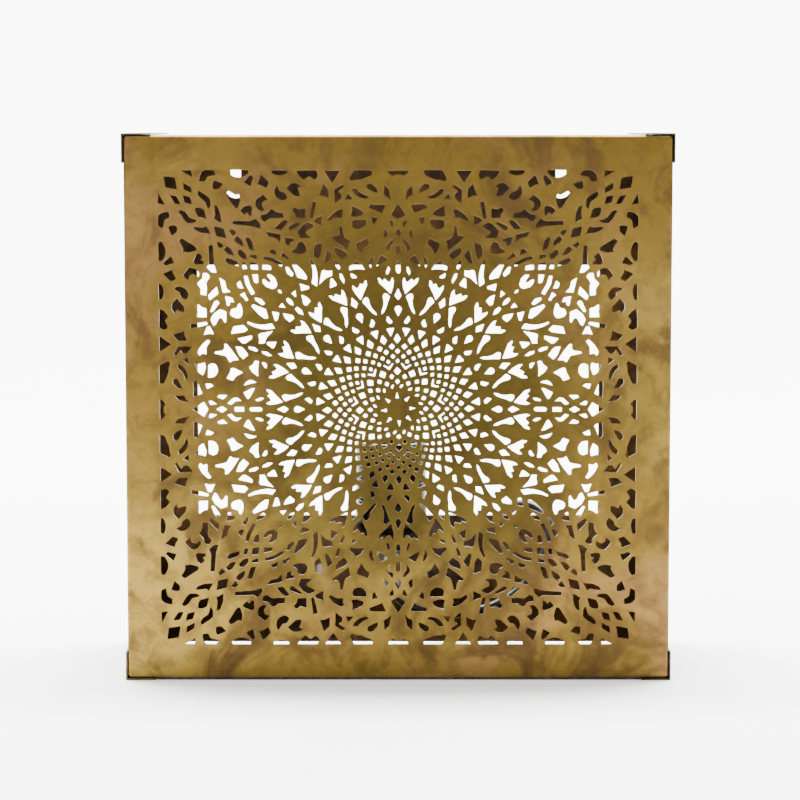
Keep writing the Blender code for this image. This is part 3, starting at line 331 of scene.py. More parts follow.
def grown(outline, kerf):
    """Outline with every side moved outwards by the width of the kerf."""
    count = len(outline)
    area = sum(outline[i - 1][0] * outline[i][1] - outline[i][0] * outline[i - 1][1] for i in range(count))
    side_out = 1.0 if area > 0 else -1.0
    wider = []
    for i in range(count):
        before, here, after = (Vector(outline[(i + k) % count]) for k in (-1, 0, 1))
        a, b = (here - before).normalized(), (after - here).normalized()
        out = (Vector((a.y, -a.x)) + Vector((b.y, -b.x))) * side_out
        out = out / max(out.length_squared / 2, 1.0)
        wider.append(tuple(here + out * kerf))
    return wider


def sawn(outline):
    """Outline as a hand saw leaves it: blunt corners and lines that waver a little."""
    middle = sum((Vector(corner) for corner in outline), Vector((0.0, 0.0))) / len(outline)
    change = min(max(middle.length - FINE_RADIUS, 0) / KERF_CHANGE, 1)
    outline = grown(outline, FINE_KERF + (WIDE_KERF - FINE_KERF) * change)
    points = []
    count = len(outline)
    for i in range(count):
        corner = Vector(outline[i])
        for neighbour in (Vector(outline[i - 1]), Vector(outline[(i + 1) % count])):
            side = neighbour - corner
            if side.length > SHORT_SIDE:
                points.append(corner + side * min(CORNER_BITE / side.length, CORNER_SHARE))
    outline = []
    for point in points:
        drift = noise.noise_vector(Vector((point.x, point.y, 0.0)) / WAVE_LENGTH) * WAVER
        outline.append((point.x + drift.x, point.y + drift.y))
    return outline


# ---------------------------------------------------------------- mesh helpers

def collect(items, kind):
    return [item for item in items if isinstance(item, kind)]


def new_object(name, data):
    """Object of the scene that holds a mesh, curve, light or camera."""
    item = bpy.data.objects.new(name, data)
    bpy.context.scene.collection.objects.link(item)
    return item


def add_piece(name, bm, materials, replaced=(), sharp=30.0):
    """Make the bmesh an object of the lamp, which stands for the CAD nodes it replaces."""
    mesh = bpy.data.meshes.new(name)
    bm.to_mesh(mesh)
    bm.free()
    mesh.shade_smooth()
    mesh.set_sharp_from_angle(angle=math.radians(sharp))
    piece = new_object(name, mesh)
    for material in materials:
        mesh.materials.append(material)
    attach(piece, "root")
    if replaced:
        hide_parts(*replaced)
    return piece


def spun(profile, steps):
    """Solid or shell turned about Z from (radius, height) points, closed on itself or at the axis."""
    bm = bmesh.new()
    verts = [bm.verts.new((radius, 0.0, height)) for radius, height in profile]
    edges = [bm.edges.new(pair) for pair in zip(verts, verts[1:])]
    if profile[0][0] > 0.0:
        edges.append(bm.edges.new((verts[-1], verts[0])))
    bmesh.ops.spin(bm, geom=verts + edges, axis=(0, 0, 1), cent=(0, 0, 0), steps=steps,
                   angle=2 * math.pi, use_merge=True)
    bmesh.ops.remove_doubles(bm, verts=bm.verts, dist=0.002 * MM)
    bmesh.ops.recalc_face_normals(bm, faces=bm.faces)
    return bm


def rounded(corners, radius, steps=3):
    """Profile with each corner rounded off, its two ends left as they are."""
    points = [corners[0]]
    for before, corner, after in zip(corners, corners[1:], corners[2:]):
        a, b, c = Vector(before), Vector(corner), Vector(after)
        reach = min(radius, (a - b).length * 0.45, (c - b).length * 0.45)
        start = b + (a - b).normalized() * reach
        end = b + (c - b).normalized() * reach
        for i in range(steps + 1):
            t = i / steps
            points.append(tuple(start * (1 - t) ** 2 + b * 2 * t * (1 - t) + end * t ** 2))
    points.append(corners[-1])
    return points


def moved(bm, offset, turn=None):
    if turn is not None:
        bmesh.ops.rotate(bm, verts=bm.verts, cent=(0, 0, 0), matrix=turn)
    bmesh.ops.translate(bm, verts=bm.verts, vec=offset)
    return bm


def softened_copy(node, width, segments=2):
    """Copy of a CAD node with its loose triangles merged into faces and its edges rounded over."""
    bm = bmesh.new()
    bm.from_mesh(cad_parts[node].data)
    bmesh.ops.remove_doubles(bm, verts=bm.verts, dist=0.01 * MM)
    bmesh.ops.dissolve_limit(bm, angle_limit=math.radians(1.0), verts=bm.verts, edges=bm.edges)
    edges = [e for e in bm.edges if len(e.link_faces) == 2 and e.calc_face_angle() > math.radians(40)]
    bmesh.ops.bevel(bm, geom=edges, offset=width, offset_type="OFFSET", affect="EDGES",
                    segments=segments, profile=0.5, material=-1, clamp_overlap=True)
    return bm


# ---------------------------------------------------------------- shader groups

def shader_group(name, inputs, outputs):
    """Empty node group with the sockets named; each is (name, kind)."""
    kinds = {"value": "NodeSocketFloat", "colour": "NodeSocketColor", "vector": "NodeSocketVector"}
    group = bpy.data.node_groups.new(name, "ShaderNodeTree")
    for label, kind in inputs:
        group.interface.new_socket(label, in_out="INPUT", socket_type=kinds[kind])
    for label, kind in outputs:
        group.interface.new_socket(label, in_out="OUTPUT", socket_type=kinds[kind])
    nodes = group.nodes
    return group, nodes.new("NodeGroupInput"), nodes.new("NodeGroupOutput")


def set_inputs(node, *pairs):
    for label, value in pairs:
        node.inputs[label].default_value = value


def add_noise(tree, vector, scale, detail=4.0, rough=0.55, distortion=0.0):
    node = tree.nodes.new("ShaderNodeTexNoise")
    set_inputs(node, ("Scale", scale), ("Detail", detail), ("Roughness", rough), ("Distortion", distortion))
    tree.links.new(vector, node.inputs["Vector"])
    return node.outputs["Fac"]


def add_range(tree, value, low, high, to_low=0.0, to_high=1.0):
    node = tree.nodes.new("ShaderNodeMapRange")
    node.interpolation_type = "SMOOTHSTEP"
    set_inputs(node, ("From Min", low), ("From Max", high), ("To Min", to_low), ("To Max", to_high))
    tree.links.new(value, node.inputs["Value"])
    return node.outputs["Result"]


def add_mix(tree, factor, first, second):
    """Colour mix; a colour may be a socket or four numbers."""
    node = tree.nodes.new("ShaderNodeMix")
    node.data_type = "RGBA"
    for socket, item in ((node.inputs[0], factor), (node.inputs[6], first), (node.inputs[7], second)):
        if isinstance(item, bpy.types.NodeSocket):
            tree.links.new(item, socket)
        else:
            socket.default_value = item
    return node.outputs[2]


def add_math(tree, operation, first, second):
    node = tree.nodes.new("ShaderNodeMath")
    node.operation = operation
    for socket, item in zip(node.inputs, (first, second)):
        if isinstance(item, bpy.types.NodeSocket):
            tree.links.new(item, socket)
        else:
            socket.default_value = item
    return node.outputs[0]


def patina_group():
    """Antique finish: broad clouds of brown and rose over the metal, fine mottling and thin scratches."""
    group, start, end = shader_group(
        "Antique patina",
        [("Vector", "vector"), ("Metal", "colour"), ("Bright", "colour"), ("Brown", "colour"),
         ("Rose", "colour"), ("Tarnish", "value")],
        [("Colour", "colour"), ("Roughness", "value"), ("Height", "value")])
    vector = start.outputs["Vector"]
    clouds = add_noise(group, vector, 8.0, 3.0, 0.5, 0.4)
    stains = add_noise(group, vector, 21.0, 6.0, 0.62, 1.2)
    mottle = add_noise(group, vector, 95.0, 7.0, 0.65, 0.5)
    grain = add_noise(group, vector, 900.0, 3.0, 0.6)
    brown = add_math(group, "MULTIPLY", add_range(group, stains, 0.47, 0.66), start.outputs["Tarnish"])
    rose = add_range(group, add_noise(group, vector, 11.0, 4.0, 0.6, 0.8), 0.50, 0.66, 0.0, 0.6)
    colour = add_mix(group, add_range(group, clouds, 0.38, 0.52), start.outputs["Bright"],
                     start.outputs["Metal"])
    colour = add_mix(group, rose, colour, start.outputs["Rose"])
    colour = add_mix(group, brown, colour, start.outputs["Brown"])
    speck = add_range(group, mottle, 0.42, 0.64, 0.0, 0.38)
    colour = add_mix(group, speck, colour, start.outputs["Brown"])
    rough = add_math(group, "ADD", add_range(group, mottle, 0.3, 0.7, 0.34, 0.46),
                     add_range(group, stains, 0.4, 0.75, 0.0, 0.12))
    height = add_math(group, "ADD", add_math(group, "MULTIPLY", mottle, 0.6),
                      add_math(group, "MULTIPLY", grain, 0.25))
    for label, socket in (("Colour", colour), ("Roughness", rough), ("Height", height)):
        group.links.new(socket, end.inputs[label])
    return group


def handling_group():
    """Faint smudges and dust for moulded and plated pieces: a mask for the colour and a roughness."""
    group, start, end = shader_group(
        "Handling marks",
        [("Vector", "vector"), ("Gloss", "value"), ("Dull", "value")],
        [("Dust", "value"), ("Roughness", "value"), ("Height", "value")])
    vector = start.outputs["Vector"]
    smudge = add_noise(group, vector, 60.0, 5.0, 0.6, 0.8)
    fine = add_noise(group, vector, 1500.0, 2.0, 0.5)
    group.links.new(add_range(group, smudge, 0.5, 0.8, 0.0, 0.35), end.inputs["Dust"])
    blend = group.nodes.new("ShaderNodeMapRange")
    set_inputs(blend, ("From Min", 0.3), ("From Max", 0.7))
    group.links.new(smudge, blend.inputs["Value"])
    group.links.new(start.outputs["Gloss"], blend.inputs["To Min"])
    group.links.new(start.outputs["Dull"], blend.inputs["To Max"])
    group.links.new(blend.outputs["Result"], end.inputs["Roughness"])
    group.links.new(fine, end.inputs["Height"])
    return group


def new_material(name):
    """Material with its Principled shader and the piece's own object coordinates."""
    material = bpy.data.materials.new(name)
    material.use_nodes = True
    tree = material.node_tree
    shader = tree.nodes["Principled BSDF"]
    place = tree.nodes.new("ShaderNodeTexCoord")
    return material, tree, shader, place.outputs["Object"]


def add_bump(tree, shader, height, strength, distance):
    bump = tree.nodes.new("ShaderNodeBump")
    set_inputs(bump, ("Strength", strength), ("Distance", distance))
    tree.links.new(height, bump.inputs["Height"])
    tree.links.new(bump.outputs["Normal"], shader.inputs["Normal"])


def add_painted_middle_shade(tree, vector, colour, dark, near, far, strength):
    """Painted shade: darken the middle of the face, fully up to the near distance and not at all past the
    far one.
    """
    distance = tree.nodes.new("ShaderNodeVectorMath")
    distance.operation = "DISTANCE"
    distance.inputs[1].default_value = (0.0, FACE_LOW.y, (FACE_LOW.z + FACE_HIGH.z) / 2)
    tree.links.new(vector, distance.inputs[0])
    ragged = add_math(tree, "MULTIPLY", add_noise(tree, vector, 17.0, 4.0), 0.09)
    reach = add_math(tree, "ADD", distance.outputs["Value"], ragged)
    return add_mix(tree, add_range(tree, reach, near, far, strength, 0.0), colour, (*dark, 1.0))


DEEP_BROWN = (0.045, 0.027, 0.017)
# Painted shade over the middle of the face: its colour, the distance where it is full, where it ends, and
# its strength
MIDDLE_SHADE_OLIVE = (0.037, 0.026, 0.006)
DARK_NEAR = 0.09
DARK_FAR = 0.21
DARK_STRENGTH = 0.9


def brass_material(name, metal, bright, brown, rose, tarnish, metallic=1.0, waves=0.0, middle=None):
    material, tree, shader, place = new_material(name)
    patina = tree.nodes.new("ShaderNodeGroup")
    patina.node_tree = shared_group("Antique patina", patina_group)
    set_inputs(patina, ("Metal", (*metal, 1.0)), ("Bright", (*bright, 1.0)), ("Brown", (*brown, 1.0)),
               ("Rose", (*rose, 1.0)), ("Tarnish", tarnish))
    tree.links.new(place, patina.inputs["Vector"])
    colour = patina.outputs["Colour"]
    # A middle colour paints shade over the middle of the face
    if middle is not None:
        colour = add_painted_middle_shade(tree, place, colour, middle, DARK_NEAR, DARK_FAR, DARK_STRENGTH)
    tree.links.new(colour, shader.inputs["Base Color"])
    tree.links.new(patina.outputs["Roughness"], shader.inputs["Roughness"])
    shader.inputs["Metallic"].default_value = metallic
    height = patina.outputs["Height"]
    if waves > 0.0:
        swell = add_noise(tree, place, 14.0, 1.5, 0.4)
        height = add_math(tree, "ADD", height, add_math(tree, "MULTIPLY", swell, waves))
    add_bump(tree, shader, height, 0.6, 0.12 * MM)
    return material


def handled_material(name, colour, dust, gloss, dull, metallic, shine):
    """Moulded, glazed or plated material that shows faint handling marks."""
    material, tree, shader, place = new_material(name)
    marks = tree.nodes.new("ShaderNodeGroup")
    marks.node_tree = shared_group("Handling marks", handling_group)
    set_inputs(marks, ("Gloss", gloss), ("Dull", dull))
    tree.links.new(place, marks.inputs["Vector"])
    tint = add_mix(tree, marks.outputs["Dust"], (*colour, 1.0), (*dust, 1.0))
    tree.links.new(tint, shader.inputs["Base Color"])
    tree.links.new(marks.outputs["Roughness"], shader.inputs["Roughness"])
    set_inputs(shader, ("Metallic", metallic), ("Specular IOR Level", shine))
    add_bump(tree, shader, marks.outputs["Height"], 0.35, 0.02 * MM)
    return material


def shared_group(name, builder):
    return bpy.data.node_groups.get(name) or builder()


def finish(name):
    """Material of that name, made the first time it is asked for."""
    if name not in bpy.data.materials:
        if name in HANDLED_FINISHES:
            handled_material(name, *HANDLED_FINISHES[name])
        else:
            BRASS_FINISHES[name](name)
    return bpy.data.materials[name]


def dress(node, name):
    """Give a CAD node that keeps its own shape its finish."""
    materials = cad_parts[node].data.materials
    materials.clear()
    materials.append(finish(name))


def face_finish(name):
    colours = bpy.context.scene.light_colours
    # The face is darkened towards its middle by painted shade
    return brass_material(name, colours.brass, colours.worn_brass, colours.tarnish, colours.rose_tarnish,
                          0.8, waves=9.0, middle=MIDDLE_SHADE_OLIVE)


def cut_finish(name):
    colours = bpy.context.scene.light_colours
    return brass_material(name, colours.cut_edge, colours.worn_brass, colours.tarnish, colours.brass, 0.45)


def shell_finish(name):
    colours = bpy.context.scene.light_colours
    return brass_material(name, colours.brass, colours.worn_brass, colours.tarnish, colours.rose_tarnish,
                          0.75, waves=6.0)


# Back panel: tarnish clouds over a darker, browner and less metallic copy of the shell's brass; the extra
# darkness is painted shade of the box's inside
def back_finish(name):
    colours = bpy.context.scene.light_colours
    return brass_material(name, (0.090, 0.058, 0.036), colours.rose_tarnish, DEEP_BROWN, colours.tarnish,
                          0.8, metallic=0.7, waves=6.0)


def angle_finish(name):
    return brass_material(name, (0.045, 0.034, 0.022), (0.16, 0.11, 0.045), (0.02, 0.014, 0.01),
                          (0.07, 0.045, 0.03), 0.6)


BRASS_FINISHES = {
    "aged_face": face_finish,
    "sawn_edge": cut_finish,
    "aged_shell": shell_finish,
    "back_tarnish_and_shade": back_finish,
    "dark_angle": angle_finish,
}
# (colour, colour of the dust, roughness where clean, roughness where dull, metallic, shine)
HANDLED_FINISHES = {
    "zinc_plate": ((0.62, 0.61, 0.58), (0.42, 0.40, 0.36), 0.26, 0.44, 1.0, 0.5),
    "contact_brass": ((0.72, 0.55, 0.26), (0.50, 0.36, 0.16), 0.22, 0.40, 1.0, 0.5),
    "black_phenolic": ((0.005, 0.005, 0.006), (0.02, 0.019, 0.019), 0.26, 0.40, 0.0, 0.22),
    "glazed_porcelain": ((0.80, 0.78, 0.72), (0.62, 0.58, 0.50), 0.12, 0.34, 0.0, 0.5),
    "natural_nylon": ((0.78, 0.76, 0.69), (0.60, 0.57, 0.50), 0.35, 0.55, 0.0, 0.5),
    "flex_sheath": ((0.010, 0.010, 0.012), (0.05, 0.048, 0.045), 0.28, 0.48, 0.0, 0.5),
}


# ---------------------------------------------------------------- settings

class LightSizes(bpy.types.PropertyGroup):
    """Sizes that can be set without touching the frame."""
    sheet: bpy.props.FloatProperty(
        name="Sheet", description="Thickness of the brass sheet", default=1.0 * MM, unit="LENGTH")
    edge_round: bpy.props.FloatProperty(
        name="Edge Round-over", description="Width of the worn edge round every cut", default=0.12 * MM,
        unit="LENGTH")
    rim_radius: bpy.props.FloatProperty(
        name="Rim Radius", description="Outer radius of the rolled rim", default=2.0 * MM, unit="LENGTH")
    soft_edge: bpy.props.FloatProperty(
        name="Soft Edge", description="Round-over of folded sheet and small metal parts",
        default=0.25 * MM, unit="LENGTH")
    flex_diameter: bpy.props.FloatProperty(
        name="Flex Diameter", description="Outer diameter of the flex", default=6.0 * MM, unit="LENGTH")
    grip_ribs: bpy.props.IntProperty(
        name="Grip Ribs", description="Ribs round the lampholder's cap", default=36)


class LightColours(bpy.types.PropertyGroup):
    """Colours of the brass."""
    brass: bpy.props.FloatVectorProperty(
        name="Brass", description="Body colour of the antique brass", subtype="COLOR",
        default=(0.138, 0.088, 0.017))
    worn_brass: bpy.props.FloatVectorProperty(
        name="Worn Brass", description="Where the finish is rubbed bright", subtype="COLOR",
        default=(0.208, 0.138, 0.029))
    cut_edge: bpy.props.FloatVectorProperty(
        name="Cut Edge", description="Raw edges of the saw cuts", subtype="COLOR",
        default=(0.170, 0.116, 0.042))
    tarnish: bpy.props.FloatVectorProperty(
        name="Tarnish", description="Brown tarnish", subtype="COLOR", default=(0.055, 0.031, 0.012))
    rose_tarnish: bpy.props.FloatVectorProperty(
        name="Rose Tarnish", description="Pinkish clouds in the tarnish", subtype="COLOR",
        default=(0.185, 0.100, 0.037))


# ---------------------------------------------------------------- pieces

class LIGHT_OT_pierced_face(bpy.types.Operator):
    """Pierced face with every saw cut open and its edge rolled back into a rim"""
    bl_idname = "light.pierced_face"
    bl_label = "Pierced Face"

    # Made in millimetres, like the template, and scaled to metres at the end
    corner_steps = 5
    roll_steps = 8
    flat_corner = 0.3  # radius of the flat face's corners, inside the roll
    nip = 0.2  # chamfer of the rim's rear edge
    worn_steps = ((0.6, 0.2), (0.4, 0.7))  # of a cut's edge, as shares of its width: (across, down)
    fill_tolerance = 1e-5

    def rim_profile(self, radius, sheet, depth):
        """Steps (outwards, backwards) from the flat face round the rim and back to its inside."""
        inner = radius - sheet
        turns = [math.pi / 2 * i / self.roll_steps for i in range(self.roll_steps + 1)]
        profile = [(radius * math.sin(a), radius * (1 - math.cos(a))) for a in turns]
        profile += [(radius, depth - self.nip), (radius - self.nip, depth),
                    (inner + self.nip, depth), (inner, depth - self.nip)]
        profile += [(inner * math.sin(a), radius - inner * math.cos(a)) for a in reversed(turns)]
        return profile

    def flat_outline(self, half_width, half_height):
        """Corners of the flat face, each as (centre of its round, direction out of it)."""
        places = []
        for sx, sz, start in ((1, 1, 0.0), (-1, 1, 0.5), (-1, -1, 1.0), (1, -1, 1.5)):
            for i in range(self.corner_steps + 1):
                angle = math.pi * (start + 0.5 * i / self.corner_steps)
                core = Vector((sx * half_width, 0.0, sz * half_height))
                places.append((core, Vector((math.cos(angle), 0.0, math.sin(angle)))))
        return places

    def web(self, bm, outline, cut_rings):
        """Fill the metal left between an outline and its cuts, and return the new triangles."""
        corners = outline + [vert for cut_ring in cut_rings for vert in cut_ring]
        place = {vert: i for i, vert in enumerate(corners)}
        loops = [[place[vert] for vert in cut_ring] for cut_ring in [outline] + cut_rings]
        flat = [Vector((vert.co.x, vert.co.z)) for vert in corners]
        filled = geometry.delaunay_2d_cdt(flat, [], loops, 0, self.fill_tolerance, True)
        faces, old_verts, old_faces = filled[2], filled[3], filled[5]
        return [bm.faces.new([corners[old_verts[i][0]] for i in face])
                for face, covers in zip(faces, old_faces) if list(covers) == [0]]

    def execute(self, context):
        sizes = context.scene.light_sizes
        sheet = sizes.sheet / MM
        lip = sizes.edge_round / MM
        radius = sizes.rim_radius / MM
        noise.seed_set(WAVER_SEED)
        bm = bmesh.new()
        panes = []
        for cut in medallion_cuts() + spoke_cuts() + field_cuts():
            panes.append(bm.faces.new([bm.verts.new((x, 0.0, z)) for x, z in sawn(cut)]))
        for pane in panes:
            pane.normal_update()
            if pane.normal.y > 0:
                pane.normal_flip()
        front_rings = [list(pane.verts) for pane in panes]
        for share, fall in self.worn_steps:
            bmesh.ops.inset_individual(bm, faces=panes, thickness=lip * share, depth=-lip * fall,
                                       use_even_offset=False)
        sunk = bmesh.ops.extrude_discrete_faces(bm, faces=panes)["faces"]
        for vert in {v for face in sunk for v in face.verts}:
            vert.co.y = sheet
        back_rings = [list(face.verts) for face in sunk]
        bmesh.ops.delete(bm, geom=[f for f in panes + sunk if f.is_valid], context="FACES_ONLY")
        cut_faces = list(bm.faces)
        for face in cut_faces:
            face.material_index = 1

        size = (FACE_HIGH - FACE_LOW) / MM
        places = self.flat_outline(size.x / 2 - radius - self.flat_corner,
                                   size.z / 2 - radius - self.flat_corner)
        rings = []
        for out, back in self.rim_profile(radius, sheet, size.y):
            rings.append([bm.verts.new(core + away * (self.flat_corner + out) + Vector((0, back, 0)))
                          for core, away in places])
        for first, second in zip(rings, rings[1:]):
            for i in range(len(first)):
                bm.faces.new((first[i - 1], first[i], second[i], second[i - 1]))
        twins = dict(zip(rings[0], rings[-1]))
        for front_ring, back_ring in zip(front_rings, back_rings):
            twins.update(zip(front_ring, back_ring))
        for triangle in self.web(bm, rings[0], front_rings):
            bm.faces.new([twins[vert] for vert in reversed(triangle.verts)])
        bmesh.ops.recalc_face_normals(bm, faces=bm.faces)
        bmesh.ops.scale(bm, verts=bm.verts, vec=(MM, MM, MM))
        moved(bm, Vector((0.0, FACE_LOW.y, (FACE_HIGH.z + FACE_LOW.z) / 2)))
        add_piece("pierced_face", bm, [finish("aged_face"), finish("sawn_edge")],
                  ["front_panel"], sharp=14)
        return {"FINISHED"}


class LIGHT_OT_shell(bpy.types.Operator):
    """Side walls, top, bottom, back panel and corner angles in folded sheet"""
    bl_idname = "light.shell"
    bl_label = "Shell"

    def execute(self, context):
        for node in ("side_wall_left", "side_wall_right", "top_wall", "bottom_wall"):
            dress(node, "aged_shell")
        # The back panel's darker brass is partly painted shade
        dress("back_panel", "back_tarnish_and_shade")
        for node in sorted(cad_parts):
            if node.startswith("corner_angle"):
                dress(node, "dark_angle")
        return {"FINISHED"}


class LIGHT_OT_lampholder(bpy.types.Operator):
    """Black three-part lampholder with its porcelain insert, screw shell and contact"""
    bl_idname = "light.lampholder"
    bl_label = "Lampholder"

    def cap(self, ribs):
        radius = (CAP_HIGH.x - CAP_LOW.x) / 2
        height = CAP_HIGH.z - CAP_LOW.z
        wall = 2.0 * MM
        neck = 8.5 * MM
        bore = 5.3 * MM
        flute = 0.45 * MM
        collar = 4 * MM
        floor = 8 * MM
        shoulder = 15.5 * MM
        grip = 16 * MM
        profile = [(bore, 0.0), (neck, 0.0), (neck, collar), (neck + 3 * MM, collar + 1.5 * MM),
                   (radius - 2.5 * MM, 10 * MM), (radius - flute, 14 * MM), (radius - flute, shoulder),
                   (radius, grip), (radius, height), (radius - wall, height),
                   (radius - wall, shoulder), (radius - wall - 2.5 * MM, 12 * MM),
                   (neck + 1 * MM, floor), (bore, floor), (bore, collar)]
        bm = spun(rounded(profile, 0.7 * MM), steps=ribs * 4)
        for vert in bm.verts:
            out = math.hypot(vert.co.x, vert.co.y)
            if out > radius - 0.2 * MM and grip + 0.2 * MM < vert.co.z < height - 1.2 * MM:
                wave = 0.5 + 0.5 * math.cos(ribs * math.atan2(vert.co.y, vert.co.x))
                shrink = (out - flute * (1 - wave)) / out
                vert.co.x *= shrink
                vert.co.y *= shrink
        return moved(bm, HOLDER_AXIS + Vector((0, 0, CAP_LOW.z)))

    def skirt(self):
        radius = (SKIRT_HIGH.x - SKIRT_LOW.x) / 2
        low = CAP_HIGH.z + 0.3 * MM - SKIRT_LOW.z
        high = SKIRT_HIGH.z - SKIRT_LOW.z
        seat = 14.9 * MM
        shelf = 15.4 * MM
        spigot = radius - 2.3 * MM
        spigot_wall = 1.6 * MM
        groove = 0.7 * MM
        pitch = 2.0 * MM
        turns = 13
        thread_start = low + 3 * MM
        profile = [(spigot, 0.0), (spigot, low), (radius, low)]
        for i in range(turns):
            base = thread_start + pitch * i
            profile += [(radius, base), (radius - groove, base + 0.35 * pitch),
                        (radius - groove, base + 0.6 * pitch), (radius, base + 0.95 * pitch)]
        profile += [(radius, high - 1.4 * MM), (radius - 1.2 * MM, high), (seat + 0.6 * MM, high),
                    (seat, high - 1 * MM), (seat, shelf), (spigot - spigot_wall, shelf),
                    (spigot - spigot_wall, 0.0), (spigot - 0.1 * MM, 0.0)]
        return moved(spun(rounded(profile, 0.35 * MM, 2), steps=96),
                     HOLDER_AXIS + Vector((0, 0, SKIRT_LOW.z)))

    def screw_shell(self):
        """Rolled thread of the lamp's screw shell, as one true helix."""
        crest = (SHELL_HIGH.x - SHELL_LOW.x) / 2
        height = SHELL_HIGH.z - SHELL_LOW.z
        depth = 0.9 * MM
        pitch = 3.6 * MM
        gauge = 0.35 * MM
        rows = 84
        outer = [(crest, height * i / rows) for i in range(rows + 1)]
        inner = [(crest - gauge, height * i / rows) for i in range(rows, -1, -1)]
        bm = spun(outer + inner, steps=72)
        for vert in bm.verts:
            out = math.hypot(vert.co.x, vert.co.y)
            turn = math.atan2(vert.co.y, vert.co.x) / (2 * math.pi)
            wave = 0.5 + 0.5 * math.cos(2 * math.pi * (vert.co.z / pitch - turn))
            fade = min(1.0, vert.co.z / pitch, (height - vert.co.z) / pitch)
            shrink = (out - depth * (1 - wave * fade)) / out
            vert.co.x *= shrink
            vert.co.y *= shrink
        return moved(bm, HOLDER_AXIS + Vector((0, 0, SHELL_LOW.z)))

    def execute(self, context):
        cap = self.cap(context.scene.light_sizes.grip_ribs)
        insert = softened_copy("lampholder_insert", 0.4 * MM, 3)
        contact = softened_copy("lampholder_contact", 0.1 * MM)
        for name, bm, material, slot, node in (
                ("cap", cap, "black_phenolic", "black_plastic", "cap"),
                ("skirt", self.skirt(), "black_phenolic", "black_plastic", "skirt"),
                ("insert", insert, "glazed_porcelain", "porcelain", "insert"),
                ("screw_shell", self.screw_shell(), "contact_brass", "contact_metal", "thread"),
                ("contact", contact, "contact_brass", "contact_metal", "contact")):
            add_piece(f"holder_{name}", bm, [finish(material)], [f"lampholder_{node}"])
        return {"FINISHED"}


class LIGHT_OT_fixings(bpy.types.Operator):
    """Bracket, nipple, nuts, washers and slotted screws"""
    bl_idname = "light.fixings"
    bl_label = "Fixings"

    def slotted_screw(self, node, outward):
        """Pan-headed screw with a slot, in the space that the CAD screw holds."""
        low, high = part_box(node)
        size = high - low
        along = max(range(3), key=lambda i: abs(outward[i]))
        length = size[along]
        head_radius = max(size[i] for i in range(3) if i != along) / 2
        shank = head_radius * 0.55
        root = shank * 0.86
        head = min(head_radius * 0.62, length * 0.3)
        pitch = shank * 0.36
        base = shank * 0.3
        profile = [(0.0, 0.0), (shank * 0.8, 0.0), (shank, base)]
        while base + pitch < length - head:
            profile += [(root, base + pitch * 0.5), (shank, base + pitch)]
            base += pitch
        profile += [(shank, length - head), (head_radius, length - head),
                    (head_radius, length - head * 0.6), (head_radius * 0.9, length - head * 0.3),
                    (head_radius * 0.66, length - head * 0.1), (head_radius * 0.3, length),
                    (0.0, length)]
        bm = spun(profile, steps=32)
        half = head_radius * 0.13
        reach = head_radius * 0.92
        slot_floor = length - head * 0.55
        for side in (-1, 1):
            bmesh.ops.bisect_plane(bm, geom=list(bm.verts) + list(bm.edges) + list(bm.faces),
                                   plane_co=(side * half, 0, 0), plane_no=(1, 0, 0))
        slot = []
        for face in bm.faces:
            centre = face.calc_center_median()
            if (face.normal.z > 0.3 and centre.z > length - head * 0.5
                    and abs(centre.x) < half and abs(centre.y) < reach):
                slot.append(face)
        dug = bmesh.ops.extrude_face_region(bm, geom=slot)["geom"]
        bmesh.ops.delete(bm, geom=[f for f in slot if f.is_valid], context="FACES")
        for vert in collect(dug, bmesh.types.BMVert):
            vert.co.z = slot_floor
        bmesh.ops.recalc_face_normals(bm, faces=bm.faces)
        middle = (low + high) / 2
        start = middle - outward * length / 2
        return moved(bm, start, outward.to_track_quat("Z", "Y").to_matrix())

    def outward(self, node):
        if node.startswith("panel_screw"):
            return Vector((-1, 0, 0)) if node.endswith("left") else Vector((1, 0, 0))
        if node.startswith(("bracket_screw", "earth_screw")):
            return Vector((0, -1, 0))
        return Vector((0, 1, 0))

    def execute(self, context):
        width = context.scene.light_sizes.soft_edge
        for node in sorted(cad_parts):
            if "_screw" in node:
                add_piece(f"slotted_{node}", self.slotted_screw(node, self.outward(node)),
                          [finish("zinc_plate")], [node])
            elif "_nut" in node or node in ("lock_washer", "flex_clip", "holder_bracket"):
                add_piece(f"plated_{node}", softened_copy(node, width), [finish("zinc_plate")],
                          [node])
        add_piece("brass_nipple", softened_copy("nipple", width), [finish("contact_brass")],
                  ["nipple"])
        add_piece("brass_earth_tag", softened_copy("earth_tag", 0.15 * MM), [finish("contact_brass")],
                  ["earth_tag"])
        return {"FINISHED"}


class LIGHT_OT_flex(bpy.types.Operator):
    """Black flex from the lampholder's nipple, over the window's edge, to the terminal block"""
    bl_idname = "light.flex"
    bl_label = "Flex"

    def execute(self, context):
        diameter = context.scene.light_sizes.flex_diameter
        curve = bpy.data.curves.new("lamp_flex", "CURVE")
        curve.dimensions = "3D"
        curve.resolution_u = 6
        curve.bevel_depth = diameter / 2
        curve.bevel_resolution = 6
        curve.use_fill_caps = True
        spline = curve.splines.new("BEZIER")
        spline.bezier_points.add(len(FLEX_ROUTE) - 1)
        for knot, point in zip(spline.bezier_points, FLEX_ROUTE):
            knot.co = Vector(point) * MM
            knot.handle_left_type = "AUTO"
            knot.handle_right_type = "AUTO"
        piece = new_object("lamp_flex", curve)
        curve.materials.append(finish("flex_sheath"))
        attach(piece, "root")
        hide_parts("flex")
        dress("flex_bush", "black_phenolic")
        return {"FINISHED"}


class LIGHT_OT_wiring(bpy.types.Operator):
    """Terminal block with its brass tubes"""
    bl_idname = "light.wiring"
    bl_label = "Wiring"

    def execute(self, context):
        add_piece("nylon_terminal_block", softened_copy("terminal_block", 0.4 * MM),
                  [finish("natural_nylon")], ["terminal_block"])
        for pole in ("live", "neutral", "earth"):
            dress(f"terminal_tube_{pole}", "contact_brass")
        return {"FINISHED"}


# ---------------------------------------------------------------- stage

